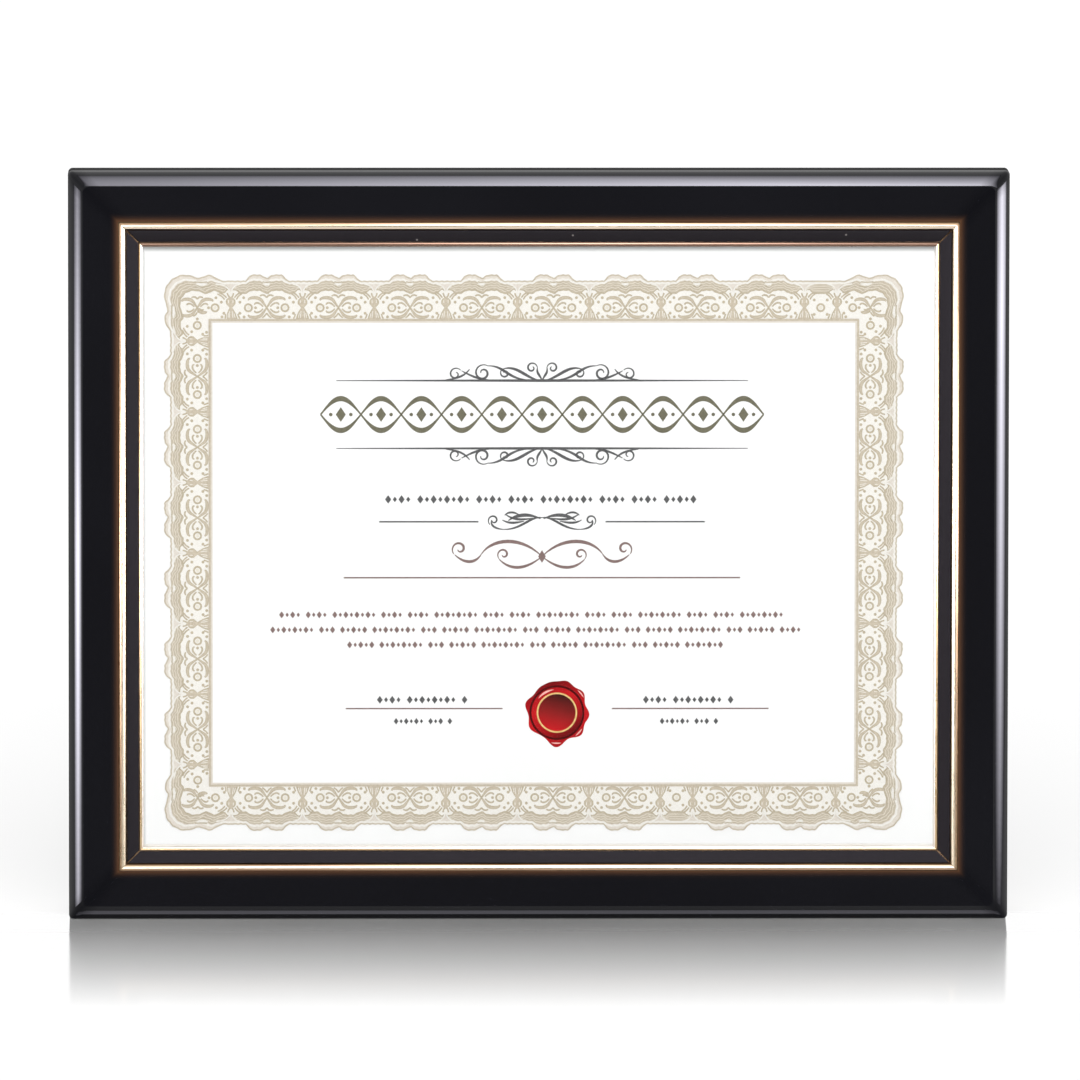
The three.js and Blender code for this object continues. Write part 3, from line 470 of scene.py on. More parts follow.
def dress(node, material, edge=0.0, flats=True):
    """Gives a CAD node its material, a small bevel on its edges and smooth round surfaces.

    Flats beside the bevel are kept flat, but not on the trim, where they run into round ones.
    """
    obj = NODES[node]
    obj.data.materials.clear()
    obj.data.materials.append(material)
    weld = obj.modifiers.new("join_facets", "WELD")
    weld.merge_threshold = 1e-6
    flat = obj.modifiers.new("merge_flat_facets", "DECIMATE")
    flat.decimate_type = "DISSOLVE"
    flat.angle_limit = math.radians(0.4)
    if edge:
        bevel = obj.modifiers.new("eased_edges", "BEVEL")
        bevel.width = edge * MM
        bevel.segments = 2
        bevel.limit_method = "ANGLE"
        bevel.angle_limit = math.radians(40)
        bevel.use_clamp_overlap = False
    obj.modifiers.new("smooth", "NODES").node_group = SMOOTHING
    if edge and flats:
        obj.modifiers.new("keep_flats_flat", "WEIGHTED_NORMAL").keep_sharp = True


# The lacquered frame: one skin over the four mitred rails


ARC_STEPS = 14
CORNER_STEPS = 8
CREASE_RADIUS = 0.5  # lacquer rounds the mitre a little
CORNER_SOFTNESS = 2.4  # and more where the rounded front edges meet
SUPPORT = 0.12  # keeps the flats flat next to the rounded edges


def rail_section():
    """The rail as (inset, depth), from the inner front edge outwards and round the back to the rabbet."""
    section = [(RAIL_INNER, 0.0), (FRONT_RADIUS + SUPPORT, 0.0)]
    for step in range(ARC_STEPS + 1):
        turn = step / ARC_STEPS * math.pi / 2
        section.append((FRONT_RADIUS * (1 - math.sin(turn)), FRONT_RADIUS * (1 - math.cos(turn))))
    section.append((0.0, FRONT_RADIUS + SUPPORT))
    section.append((0.0, RAIL_DEPTH - BACK_RADIUS - SUPPORT))
    for step in range(ARC_STEPS + 1):
        turn = step / ARC_STEPS * math.pi / 2
        inset = BACK_RADIUS * (1 - math.cos(turn))
        section.append((inset, RAIL_DEPTH - BACK_RADIUS * (1 - math.sin(turn))))
    section.append((BACK_RADIUS + SUPPORT, RAIL_DEPTH))
    section.append((RABBET_WALL, RAIL_DEPTH))
    section.append((RABBET_WALL, LIP_DEPTH))
    section.append((RAIL_INNER, LIP_DEPTH))
    return section


def corner_radius(inset, depth):
    """How round a corner is, growing over the rounded front edge."""
    if inset <= FRONT_RADIUS + SUPPORT and depth <= FRONT_RADIUS:
        return PLAN_RADIUS + (CORNER_SOFTNESS - PLAN_RADIUS) * (1 - depth / FRONT_RADIUS)
    return max(PLAN_RADIUS - inset, CREASE_RADIUS)


def rounded_ring(inset, depth):
    """Points round the frame at an inset, as (across, height), with a short support beside each corner."""
    radius = corner_radius(inset, depth)
    ring = []
    for corner, (sign_x, sign_z) in enumerate(QUADRANTS):
        middle_x = sign_x * (FRAME_WIDTH / 2 - inset - radius)
        middle_z = MIDDLE + sign_z * (FRAME_HEIGHT / 2 - inset - radius)
        for step in range(-1, CORNER_STEPS + 2):
            turn = (corner + min(max(step / CORNER_STEPS, 0.0), 1.0)) * math.pi / 2
            past = SUPPORT * ((step > CORNER_STEPS) - (step < 0))
            x = middle_x + radius * math.cos(turn) - past * math.sin(turn)
            z = middle_z + radius * math.sin(turn) + past * math.cos(turn)
            ring.append((x, z))
    return ring


def swept_frame(section):
    """Vertices and faces of a section carried round the frame."""
    vertices = []
    for inset, depth in section:
        vertices.extend((x, depth, z) for x, z in rounded_ring(inset, depth))
    count = len(vertices) // len(section)
    faces = []
    for row in range(len(section)):
        following = (row + 1) % len(section)
        for i in range(count):
            j = (i + 1) % count
            faces.append((row * count + i, following * count + i, following * count + j, row * count + j))
    return vertices, faces


def cut_nail_slots(skin):
    """Opens the back of the skin over the corner nails, which sit just below it."""
    cutters = []
    for node, nail in NODES.items():
        if node.startswith("corner_nail"):
            shape = bmesh.new()
            shape.from_mesh(nail.data)
            bmesh.ops.remove_doubles(shape, verts=shape.verts, dist=0.001 * MM)
            bmesh.ops.translate(shape, verts=shape.verts, vec=DEPTH_AXIS * MM)
            cutter = bpy.data.objects.new("cutter", bpy.data.meshes.new("cutter"))
            shape.to_mesh(cutter.data)
            shape.free()
            bpy.context.scene.collection.objects.link(cutter)
            slot = skin.modifiers.new("nail_slot", "BOOLEAN")
            slot.operation = "DIFFERENCE"
            slot.solver = "EXACT"
            slot.object = cutter
            cutters.append(cutter)
    with_slots = skin.evaluated_get(bpy.context.evaluated_depsgraph_get())
    skin.data = bpy.data.meshes.new_from_object(with_slots)
    skin.modifiers.clear()
    for cutter in cutters:
        bpy.data.objects.remove(cutter)


def lacquered_frame():
    rails = ("top_rail", "bottom_rail", "left_rail", "right_rail")
    skin = piece("lacquered_frame", *swept_frame(rail_section()), lacquer(), "lacquer")
    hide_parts(*rails)
    cut_nail_slots(skin)
    skin.data.shade_smooth()
    skin.data.set_sharp_from_angle(angle=SHARP_ANGLE)
    let_light_in(skin)


# The printed sheet


INK_STEP = 0.03  # each ink lies this much over the one below it
BORDER_X = -1.6  # middle of the lace border from the middle of the frame
BORDER_Y = -3.0
LACE_HALF_WIDTH = 109.0  # to the straight inner edge of the lace
LACE_HALF_HEIGHT = 78.6
LACE_LOW = 13.7  # lace width at the gaps between its motifs
LACE_RISE = 2.1
FLOWER_LINE = 4.6  # middle of the flowers from the inner edge
GAP_OFFSET = 6.7  # last gap from the inner corner
MOTIF = 24.2  # length of one motif
TEXT_X = 1.2
TITLE_Y = 44.0
BOTH_SIDES = ((1, 1), (-1, 1))


def smoothstep(low, high, value):
    t = min(max((value - low) / (high - low), 0.0), 1.0)
    return t * t * (3 - 2 * t)


def hump(value, middle, width):
    return math.exp(-(((value - middle) / width) ** 2))


def bezier(points, steps=14):
    """A cubic curve from the first point to the last, with two control points between them."""
    path = []
    for step in range(steps + 1):
        t = step / steps
        weights = ((1 - t) ** 3, 3 * t * (1 - t) ** 2, 3 * t * t * (1 - t), t**3)
        x = sum(weight * point[0] for weight, point in zip(weights, points))
        y = sum(weight * point[1] for weight, point in zip(weights, points))
        path.append((x, y))
    return path


def smooth_path(points, steps=6):
    """A smooth line through points."""
    path = []
    last = len(points) - 1
    for i in range(last):
        near = [points[min(max(k, 0), last)] for k in (i - 1, i, i + 1, i + 2)]
        for step in range(steps):
            t = step / steps
            weights = (
                (-t + 2 * t * t - t**3) / 2,
                (2 - 5 * t * t + 3 * t**3) / 2,
                (t + 4 * t * t - 3 * t**3) / 2,
                (t**3 - t * t) / 2,
            )
            x = sum(weight * point[0] for weight, point in zip(weights, near))
            y = sum(weight * point[1] for weight, point in zip(weights, near))
            path.append((x, y))
    return path + [points[last]]


def spiral(x, y, outer, inner, start, turns, steps=40):
    """A curl that winds in from the outer to the inner radius."""
    path = []
    for step in range(steps + 1):
        t = step / steps
        angle = start + 2 * math.pi * turns * t
        radius = outer + (inner - outer) * t
        path.append((x + radius * math.cos(angle), y + radius * math.sin(angle)))
    return path


def taper(widest, least=0.28):
    """Line width that swells in the middle."""
    return lambda t: least + (widest - least) * math.sin(math.pi * min(max(t, 0.0), 1.0))


class Ink:
    """One ink of the sheet: flat fills and strokes, in millimetres from the middle of the frame's face."""

    def __init__(self, name, material, layer):
        self.name = name
        self.material = material
        self.depth = SHEET_FRONT - INK_STEP * layer
        self.vertices = []
        self.faces = []

    def strip(self, first, second):
        """Fills between two open paths with as many points."""
        start = len(self.vertices)
        for (ax, ay), (bx, by) in zip(first, second):
            self.vertices.append((ax, self.depth, MIDDLE + ay))
            self.vertices.append((bx, self.depth, MIDDLE + by))
        for i in range(start, len(self.vertices) - 2, 2):
            self.faces.append((i, i + 1, i + 3, i + 2))

    def stroke(self, path, width):
        """A line of one width, or of a width given along 0 to 1."""
        left, right = [], []
        last = len(path) - 1
        for i, (x, y) in enumerate(path):
            ax, ay = path[max(i - 1, 0)]
            bx, by = path[min(i + 1, last)]
            length = math.hypot(bx - ax, by - ay) or 1.0
            half = (width(i / last) if callable(width) else width) / 2
            across = ((ay - by) / length * half, (bx - ax) / length * half)
            left.append((x + across[0], y + across[1]))
            right.append((x - across[0], y - across[1]))
        self.strip(left, right)

    def disc(self, x, y, width, height=None, steps=16):
        """A filled ellipse with these half sizes, or a lozenge with four steps."""
        height = width if height is None else height
        start = len(self.vertices)
        for step in range(steps):
            angle = 2 * math.pi * step / steps
            rise = height * math.sin(angle)
            self.vertices.append((x + width * math.cos(angle), self.depth, MIDDLE + y + rise))
        self.faces.append(tuple(range(start, start + steps)))

    def finish(self):
        return piece(self.name, self.vertices, self.faces, self.material, "paper")


class LaceUnit:
    """One motif on a straight side of the lace.

    Its points are given as 0 to 1 along it and as the width from the inner edge of the lace.
    """

    shoulder = 0.19  # where the rim starts to rise
    end_stretch = 1.0

    def __init__(self, start, end, outward):
        self.start = Vector(start)
        self.end = Vector(end)
        self.outward = Vector(outward)
        self.length = (self.end - self.start).length
        self.short = self.length < 0.6 * MOTIF
        self.dips = () if self.short else (0.5,)

    def spot(self, along, out):
        """A point on the sheet."""
        place = self.start.lerp(self.end, along) + self.outward * out
        return BORDER_X + place.x, BORDER_Y + place.y

    def lobe(self, along):
        """How far the rim has risen, from 0 at the gaps to 1 in the middle."""
        if self.short:
            return 0.0
        rise = smoothstep(self.shoulder, self.shoulder + 0.11, along)
        fall = smoothstep(self.shoulder, self.shoulder + 0.11, 1 - along)
        return rise * fall

    def edge(self, along):
        """Scalloped outer edge."""
        dip = sum(hump(along, middle, 0.055) for middle in self.dips)
        ripple = 0.12 * math.sin(26 * math.pi * along)
        return LACE_LOW + LACE_RISE * self.lobe(along) - 1.1 * dip + ripple

    def shell(self, along):
        """Upper and lower edge of the shaded shell."""
        from_end = min(along, 1 - along) * self.end_stretch * self.length / MOTIF
        end_drop = 1.7 * (1 - smoothstep(0.0, 0.1, from_end))
        upper = self.edge(along) - 1.15 - 1.0 * self.lobe(along) - end_drop
        return upper, upper - 0.5 - 2.6 * smoothstep(0.02, 0.14, from_end)

    def engraved(self, along, share):
        """A rippled line in the shell, at a share of its height from the upper edge."""
        upper, lower = self.shell(along)
        return upper + (lower - upper) * share + 0.1 * math.sin(22 * math.pi * along + 7 * share)

    def path(self, edge, start=0.0, end=1.0, steps=44):
        """A line along the unit, at the widths that edge gives."""
        spots = []
        for step in range(steps + 1):
            along = start + (end - start) * step / steps
            spots.append(self.spot(along, edge(along)))
        return spots

    def curve(self, points):
        """A smooth line through points of the unit."""
        return [self.spot(along, out) for along, out in smooth_path(points)]

    def ribbon(self, shape, way, rise):
        """A ribbon from the middle of the motif."""
        return self.curve([(0.5 + way * along, FLOWER_LINE + rise * out) for along, out in shape])


class LaceCorner(LaceUnit):
    """The motif that goes round a corner."""

    shoulder = 0.07
    end_stretch = 1.7

    def __init__(self, sign_x, sign_y):
        self.sign_x = sign_x
        self.sign_y = sign_y
        self.length = MOTIF
        self.short = False
        self.dips = (0.27, 0.73)

    def on_sheet(self, x, y):
        """From the upper right quarter to this corner's."""
        return BORDER_X + self.sign_x * x, BORDER_Y + self.sign_y * y

    def spot(self, along, out):
        radius = 0.45 * max(out, 0.0)
        straight = GAP_OFFSET + out - radius
        bend = radius * math.pi / 2
        way = along * (2 * straight + bend)
        middle_x = LACE_HALF_WIDTH + out - radius
        middle_y = LACE_HALF_HEIGHT + out - radius
        if way <= straight:
            return self.on_sheet(middle_x - straight + way, LACE_HALF_HEIGHT + out)
        if way >= straight + bend:
            return self.on_sheet(LACE_HALF_WIDTH + out, middle_y - (way - straight - bend))
        turn = math.pi / 2 - (way - straight) / radius
        return self.on_sheet(middle_x + radius * math.cos(turn), middle_y + radius * math.sin(turn))

    def ribbon(self, shape, way, rise):
        """A ribbon from the middle of the corner, smaller in its inner quarter."""
        size = 0.5 if way < 0 and rise < 0 else 0.85
        path = []
        for along, out in smooth_path(shape):
            x = LACE_HALF_WIDTH + FLOWER_LINE + size * way * along * MOTIF
            y = LACE_HALF_HEIGHT + FLOWER_LINE + size * rise * out
            path.append(self.on_sheet(x, y))
        return path


def lace_side(outward, lengths):
    """The straight units of one side, from its lower or left end."""
    out_x, out_y = outward
    half = sum(lengths) / 2
    units = []
    way = -half
    for length in lengths:
        edge = Vector((out_x * LACE_HALF_WIDTH, out_y * LACE_HALF_HEIGHT))
        along = Vector((abs(out_y), abs(out_x)))
        units.append(LaceUnit(edge + along * way, edge + along * (way + length), outward))
        way += length
    return units


def lace_units():
    """The corners, and on each side whole motifs with a short one where they don't fill it."""
    short = 2 * (LACE_HALF_WIDTH - GAP_OFFSET) - 8 * MOTIF
    upright = 2 * (LACE_HALF_HEIGHT - GAP_OFFSET) / 6
    units = [LaceCorner(sign_x, sign_y) for sign_x, sign_y in QUADRANTS]
    units += lace_side((0, 1), [MOTIF] * 8 + [short])
    units += lace_side((0, -1), [MOTIF] * 6 + [short] + [MOTIF] * 2)
    units += lace_side((-1, 0), [upright] * 6)
    units += lace_side((1, 0), [upright] * 6)
    return units


def lace_dot(drawing, unit, along, out, size):
    drawing.disc(*unit.spot(along, out), size, steps=12)


ENGRAVED = (0.22, 0.48, 0.74)


def lace_ground(unit, inks):
    """Pale rim with its contour, shaded shell and the white ground of the motif."""
    inks["rim"].strip(unit.path(unit.edge), unit.path(lambda s: 0.0))
    inks["ground"].strip(unit.path(lambda s: 0.9), unit.path(lambda s: unit.shell(s)[1] - 0.2))
    inks["motif"].stroke(unit.path(lambda s: unit.edge(s) - 0.2), 0.45)
    inks["ground"].stroke(unit.path(lambda s: unit.edge(s) - 0.75 - 0.9 * unit.lobe(s)), 0.7)
    shell_top = unit.path(lambda s: unit.shell(s)[0], 0.02, 0.98)
    shell_foot = unit.path(lambda s: unit.shell(s)[1], 0.02, 0.98)
    inks["shell"].strip(shell_top, shell_foot)
    inks["line"].stroke(shell_foot, 0.35)
    for share in ENGRAVED:
        inks["pearl"].stroke(unit.path(lambda s: unit.engraved(s, share), 0.05, 0.95, 60), 0.24)
    for middle in unit.dips:
        top = unit.edge(middle)
        for drop, name, width in ((1.5, "line", 0.4), (2.2, "light", 0.8), (3.0, "line", 0.4)):
            reach = (middle - 0.055, middle + 0.055)
            smile = unit.path(lambda s: top - drop + 90 * (s - middle) ** 2, *reach, 12)
            inks[name].stroke(smile, taper(width))


def lace_flower(unit, along, inks):
    """A round flower with a light middle."""
    lace_dot(inks["line"], unit, along, FLOWER_LINE, 1.55)
    lace_dot(inks["light"], unit, along, FLOWER_LINE, 0.9)
    lace_dot(inks["pearl"], unit, along, FLOWER_LINE, 0.6)


FLOWER_DOTS = ((0.065, 8.0), (0.118, 6.5), (0.118, 2.75), (0.06, 1.5), (-0.1, FLOWER_LINE))
SHORT_DOTS = ((0.2, 7.2), (-0.2, 7.2), (0.2, 2.3), (-0.2, 2.3))


def lace_flowers(unit, inks):
    """A flower on both sides of a motif with dots towards the gap, or one in the middle of a short one."""
    if unit.short:
        lace_flower(unit, 0.5, inks)
        for shift, out in SHORT_DOTS:
            lace_dot(inks["line"], unit, 0.5 + shift, out, 0.5)
        return
    for way in (-1, 1):
        middle = 0.5 + 0.255 * way
        lace_flower(unit, middle, inks)
        for shift, out in FLOWER_DOTS:
            lace_dot(inks["line"], unit, middle + way * shift, out, 0.5)


RIBBON = ((0.0, 0.0), (0.045, 1.6), (0.08, 2.7), (0.13, 3.3), (0.19, 3.4), (0.24, 3.1), (0.258, 2.5))
PETAL = ((0.05, 0.35), (0.085, 1.2), (0.125, 1.65), (0.16, 1.5), (0.17, 1.0))
CREST = ((0.0, 3.4), (0.025, 4.1), (0.06, 4.3), (0.095, 4.0))
FOOT = ((0.0, 1.9), (0.03, 2.9), (0.065, 3.6))
UPPER_RIBBONS = ((RIBBON, 1.15), (PETAL, 0.6), (CREST, 0.6))
LOWER_RIBBONS = ((RIBBON, 1.15), (PETAL, 0.6), (FOOT, 0.5))


def lace_ribbons(unit, inks):
    """Ribbons crossed in the middle of a motif, with curled ends and a lighter middle."""
    for way in (-1, 1):
        for rise, shapes in ((1.0, UPPER_RIBBONS), (-0.95, LOWER_RIBBONS)):
            for shape, width in shapes:
                path = unit.ribbon(shape, way, rise)
                inks["line"].stroke(path, taper(width, 0.45))
                inks["motif"].stroke(path, taper(width - 0.5, 0.02))


BOW = ((8.3, 0.012), (7.6, 0.05), (6.9, 0.066), (5.9, 0.066), (5.2, 0.04), (FLOWER_LINE, 0.02))
CUP = ((4.1, 0.035), (2.9, 0.065), (1.7, 0.082), (0.8, 0.095))
BRACKETS = (
    ((0.15, 9.3), (0.108, 8.5), (0.078, 7.4)),
    ((0.125, 9.7), (0.085, 9.0), (0.05, 8.0)),
    ((0.125, 0.9), (0.11, 1.7), (0.1, 2.5)),
    ((0.0, 8.0), (0.025, 8.5), (0.04, 9.6)),
)
FORK = (((0.14, 12.7), (0.07, 12.2), (0.03, 11.2), (0.012, 10.2), (0.0095, 8.7)),)
STREAKS = (((0.02, 3.5), (0.03, 1.2)), ((0.045, 2.8), (0.06, 1.2)), ((0.03, 7.2), (0.03, 6.2)))
GAP_STROKES = (("line", 0.5, BRACKETS), ("light", 0.45, FORK), ("light", 0.22, STREAKS))


def lace_gap(unit, inks):
    """Bow and streaked cup, brackets and forked line at both ends of a motif."""
    side = BOW + CUP
    for way, start in ((MOTIF / unit.length, 0.0), (-MOTIF / unit.length, 1.0)):
        middle = [unit.spot(start, out) for out, half in side]
        for name, share in (("line", 1.0), ("motif", 0.75)):
            inks[name].strip(middle, [unit.spot(start + way * share * half, out) for out, half in side])
        for name, width, shapes in GAP_STROKES:
            for shape in shapes:
                points = [(start + way * along, out) for along, out in shape]
                inks[name].stroke(unit.curve(points), width)


def lace_inner_edge(inks):
    """A pale line and a darker one along the straight inner edge of the lace."""
    for name, inset, width in (("rim", -0.2, 0.6), ("motif", 0.45, 0.6)):
        x = LACE_HALF_WIDTH + inset
        y = LACE_HALF_HEIGHT + inset
        for side in (-1, 1):
            reach = x + width / 2
            inks[name].stroke([(BORDER_X + end * reach, BORDER_Y + side * y) for end in (-1, 1)], width)
            reach = y - width / 2
            inks[name].stroke([(BORDER_X + side * x, BORDER_Y + end * reach) for end in (-1, 1)], width)


def lace_border():
    """The lace round the sheet, in three beiges and a creamy white."""
    beige = ink("ink_beige", (0.645, 0.57, 0.455), (0.555, 0.48, 0.37))
    outline = ink("ink_beige_line", (0.575, 0.50, 0.375), (0.505, 0.435, 0.315))
    white = ink("ink_creamy_white", (0.90, 0.875, 0.83), (0.86, 0.83, 0.775))
    cream = ink("ink_cream", (0.83, 0.78, 0.69), (0.78, 0.73, 0.63))
    inks = {
        "rim": Ink("print_lace_rim", ink("ink_pale_beige", (0.81, 0.755, 0.685), (0.75, 0.69, 0.61)), 1),
        "shell": Ink("print_lace_shell", beige, 2),
        "ground": Ink("print_lace_ground", white, 3),
        "line": Ink("print_lace_line", outline, 4),
        "motif": Ink("print_lace_motif", beige, 5),
        "light": Ink("print_lace_light", white, 6),
        "pearl": Ink("print_lace_pearl", cream, 7),
    }
    for unit in lace_units():
        lace_ground(unit, inks)
        lace_flowers(unit, inks)
        if not unit.short:
            lace_ribbons(unit, inks)
        lace_gap(unit, inks)
    lace_inner_edge(inks)
    for drawing in inks.values():
        drawing.finish()


def mirrored(drawing, path, width, x, y, flips):
    """A stroke and its mirror images about a point of the sheet."""
    for sign_x, sign_y in flips:
        drawing.stroke([(x + sign_x * px, y + sign_y * py) for px, py in path], width)


def title_flourishes(drawing, x, y):
    """Tapering rules with curls on them, above and below the title."""
    rule = 11.5
    line = [(69.5 * i / 20, rule) for i in range(21)]
    mirrored(drawing, line, lambda t: 0.95 - 0.7 * t, x, y, QUADRANTS)
    curls = [
        (bezier(((0.0, rule), (0.8, rule + 2.0), (2.0, rule + 2.4), (1.6, rule + 4.4))), 0.8),
        (spiral(3.5, rule + 4.3, 1.9, 0.5, math.pi, -1.15), 0.65),
        (bezier(((0.6, rule), (5.5, rule + 0.6), (8.5, rule + 5.6), (13.4, rule + 3.9))), 1.0),
        (spiral(12.6, rule + 2.5, 1.6, 0.5, 1.05, -1.1), 0.65),
        (bezier(((4.5, rule + 0.2), (12.0, rule + 0.4), (12.5, rule + 5.2), (18.4, rule + 5.0))), 0.9),
        (spiral(20.0, rule + 2.6, 2.9, 0.7, 2.15, -1.35), 0.75),
        (bezier(((16.0, rule + 0.2), (20.5, rule - 0.2), (24.0, rule + 1.6), (27.2, rule + 3.3))), 0.75),
        (spiral(29.3, rule + 2.2, 2.2, 0.6, 2.5, -1.1), 0.6),
        (bezier(((24.5, rule + 3.9), (26.0, rule + 1.7), (28.5, rule + 0.6), (32.5, rule + 0.3))), 0.7),
    ]
    for path, width in curls:
        mirrored(drawing, path, taper(width), x, y, QUADRANTS)


def title_band(drawing, x, y):
    """A braid of two strands, with lozenges in its loops, where the title stands."""
    loops, pitch, swing = 11, 13.6, 5.4
    half = loops * pitch / 2
    steps = 24 * loops
    for side in (-1, 1):
        strand = []
        for step in range(steps + 1):
            along = step / steps * loops * pitch
            strand.append((x - half + along, y + side * swing * math.sin(math.pi * along / pitch)))
        drawing.stroke(strand, lambda t: 0.55 + 1.25 * math.sin(math.pi * loops * t) ** 2)
    for loop in range(loops):
        middle = x - half + pitch * (loop + 0.5)
        drawing.disc(middle, y, 1.7, 2.5, 4)
        for side in (-1, 1):
            drawing.disc(middle + side * 3.4, y, 0.6)


def small_scroll(drawing, x, y):
    """Leaf scroll between two plain rules."""
    mirrored(drawing, [(21.5, 0.0), (38.0, 0.0), (55.0, 0.0)], 0.5, x, y, BOTH_SIDES)
    curls = [
        (bezier(((0.0, 1.4), (4.0, 2.0), (7.0, -2.8), (13.0, -2.6))), 0.8),
        (bezier(((13.0, -2.6), (16.0, -2.4), (17.6, -1.2), (17.0, 0.6))), 0.7),
        (spiral(16.4, 0.5, 1.9, 0.5, -0.9, 1.1), 0.6),
        (bezier(((0.5, 1.0), (5.0, 3.2), (9.0, 2.2), (11.4, 0.4))), 1.2),
        (bezier(((3.0, 1.2), (7.0, 0.6), (9.5, 0.4), (12.5, 2.6))), 0.8),
        (bezier(((7.6, 2.2), (9.5, 3.6), (11.5, 3.4), (12.6, 2.2))), 0.7),
        (bezier(((6.0, 0.2), (9.0, -0.4), (11.0, -0.8), (13.4, 0.6))), 0.8),
    ]
    for path, width in curls:
        mirrored(drawing, path, taper(width), x, y, BOTH_SIDES)


def name_ornament(drawing, x, y):
    """A swash in the place of the name."""
    swash = [
        (bezier(((0.0, 0.0), (7.0, 7.2), (17.0, 6.2), (20.5, 0.8))), 1.2),
        (bezier(((20.5, 0.8), (22.4, -2.4), (26.0, -2.7), (29.5, 0.6))), 1.0),
        (spiral(27.9, 2.6, 2.6, 0.6, -0.75, 1.05), 0.8),
        (bezier(((0.0, 0.0), (6.0, -5.0), (11.0, -4.6), (14.5, -0.9))), 1.0),
        (spiral(13.0, 0.7, 2.1, 0.5, -0.75, 1.05), 0.7),
    ]
    for path, width in swash:
        mirrored(drawing, path, taper(width), x, y, BOTH_SIDES)
    drawing.disc(x, y, 1.3, 2.2, 4)


def lozenges(drawing, x, y, length, height):
    """A row of small lozenges in groups, centred on x, in the place of small print."""
    pitch = 0.78 * height
    left = x - length / 2
    group, seat = 0, 0
    while left < x + length / 2:
        size = height / 2 if seat % 2 == 0 else height / 3
        drawing.disc(left, y, size * 0.72, size, 4)
        left += pitch
        seat += 1
        if seat > 5 + 3 * math.sin(2.1 * group + 0.37 * y):
            left += 0.8 * pitch
            group, seat = group + 1, 0


def wording():
    """Ornaments, plain rules and rows of lozenges in the places of the wording."""
    grey = Ink("print_ornaments", ink("ink_grey", (0.136, 0.136, 0.139), (0.104, 0.104, 0.107)), 1)
    olive = Ink("print_title_band", ink("ink_olive", (0.191, 0.181, 0.128), (0.156, 0.148, 0.102)), 1)
    brown = Ink("print_lines", ink("ink_brown", (0.273, 0.191, 0.177), (0.218, 0.149, 0.142)), 1)
    title_flourishes(grey, TEXT_X, TITLE_Y)
    title_band(olive, TEXT_X, TITLE_Y)
    lozenges(grey, TEXT_X, 15.2, 104.0, 2.9)
    small_scroll(grey, TEXT_X, 7.6)
    name_ornament(brown, TEXT_X, -4.2)
    brown.stroke([(TEXT_X - 67, -11.4), (TEXT_X, -11.4), (TEXT_X + 67, -11.4)], 0.5)
    for y, length in ((-24.0, 172.0), (-29.1, 178.0), (-34.2, 126.0)):
        lozenges(brown, TEXT_X - 2, y, length, 2.4)
    for x in (-38.6, 51.4):
        brown.stroke([(x - 26.5, -55.9), (x, -55.9), (x + 26.5, -55.9)], 0.45)
        lozenges(grey, x, -52.9, 30.0, 2.7)
        lozenges(grey, x, -60.2, 19.0, 2.2)
    for drawing in (grey, olive, brown):
        drawing.finish()


SEAL_X = 6.3
SEAL_Y = -57.3
WAX_REACH = 9.3
WAX_LUMPS = (
    (100, 1.2),
    (72, 1.9),
    (38, 2.0),
    (-4, 1.7),
    (-42, 1.9),
    (-91, 2.5),
    (-150, 1.3),
    (163, 1.8),
    (125, 1.0),
)  # where the wax ran out, in degrees, and how far
SHINES = ((7.9, 98, 142, 0.7), (10.1, -33, -51, 0.5), (10.4, -82, -100, 0.5), (10.4, 30, 47, 0.45))


def wax_edge(angle):
    """Radius of the poured wax, with lumps where it ran out."""
    reach = WAX_REACH
    for middle, rise in WAX_LUMPS:
        apart = (math.degrees(angle) - middle + 180) % 360 - 180
        reach += rise * hump(apart, 0.0, 16.0)
    return reach


def seal_disc(name, edge, material, layer, hole=None):
    """A flat disc of the seal, or a ring round a hole. Edge gives the radius at an angle."""
    steps = 96
    vertices, faces = [], []
    for step in range(steps):
        angle = 2 * math.pi * step / steps
        for radius in (edge(angle), hole):
            if radius is not None:
                vertices.append((radius * math.cos(angle), -INK_STEP * layer, radius * math.sin(angle)))
    if hole is None:
        faces.append(tuple(range(steps)))
    else:
        for step in range(steps):
            a, b = 2 * step, 2 * ((step + 1) % steps)
            faces.append((a, b, b + 1, a + 1))
    return piece(name, vertices, faces, material, "paper", (SEAL_X, SHEET_FRONT, MIDDLE + SEAL_Y))


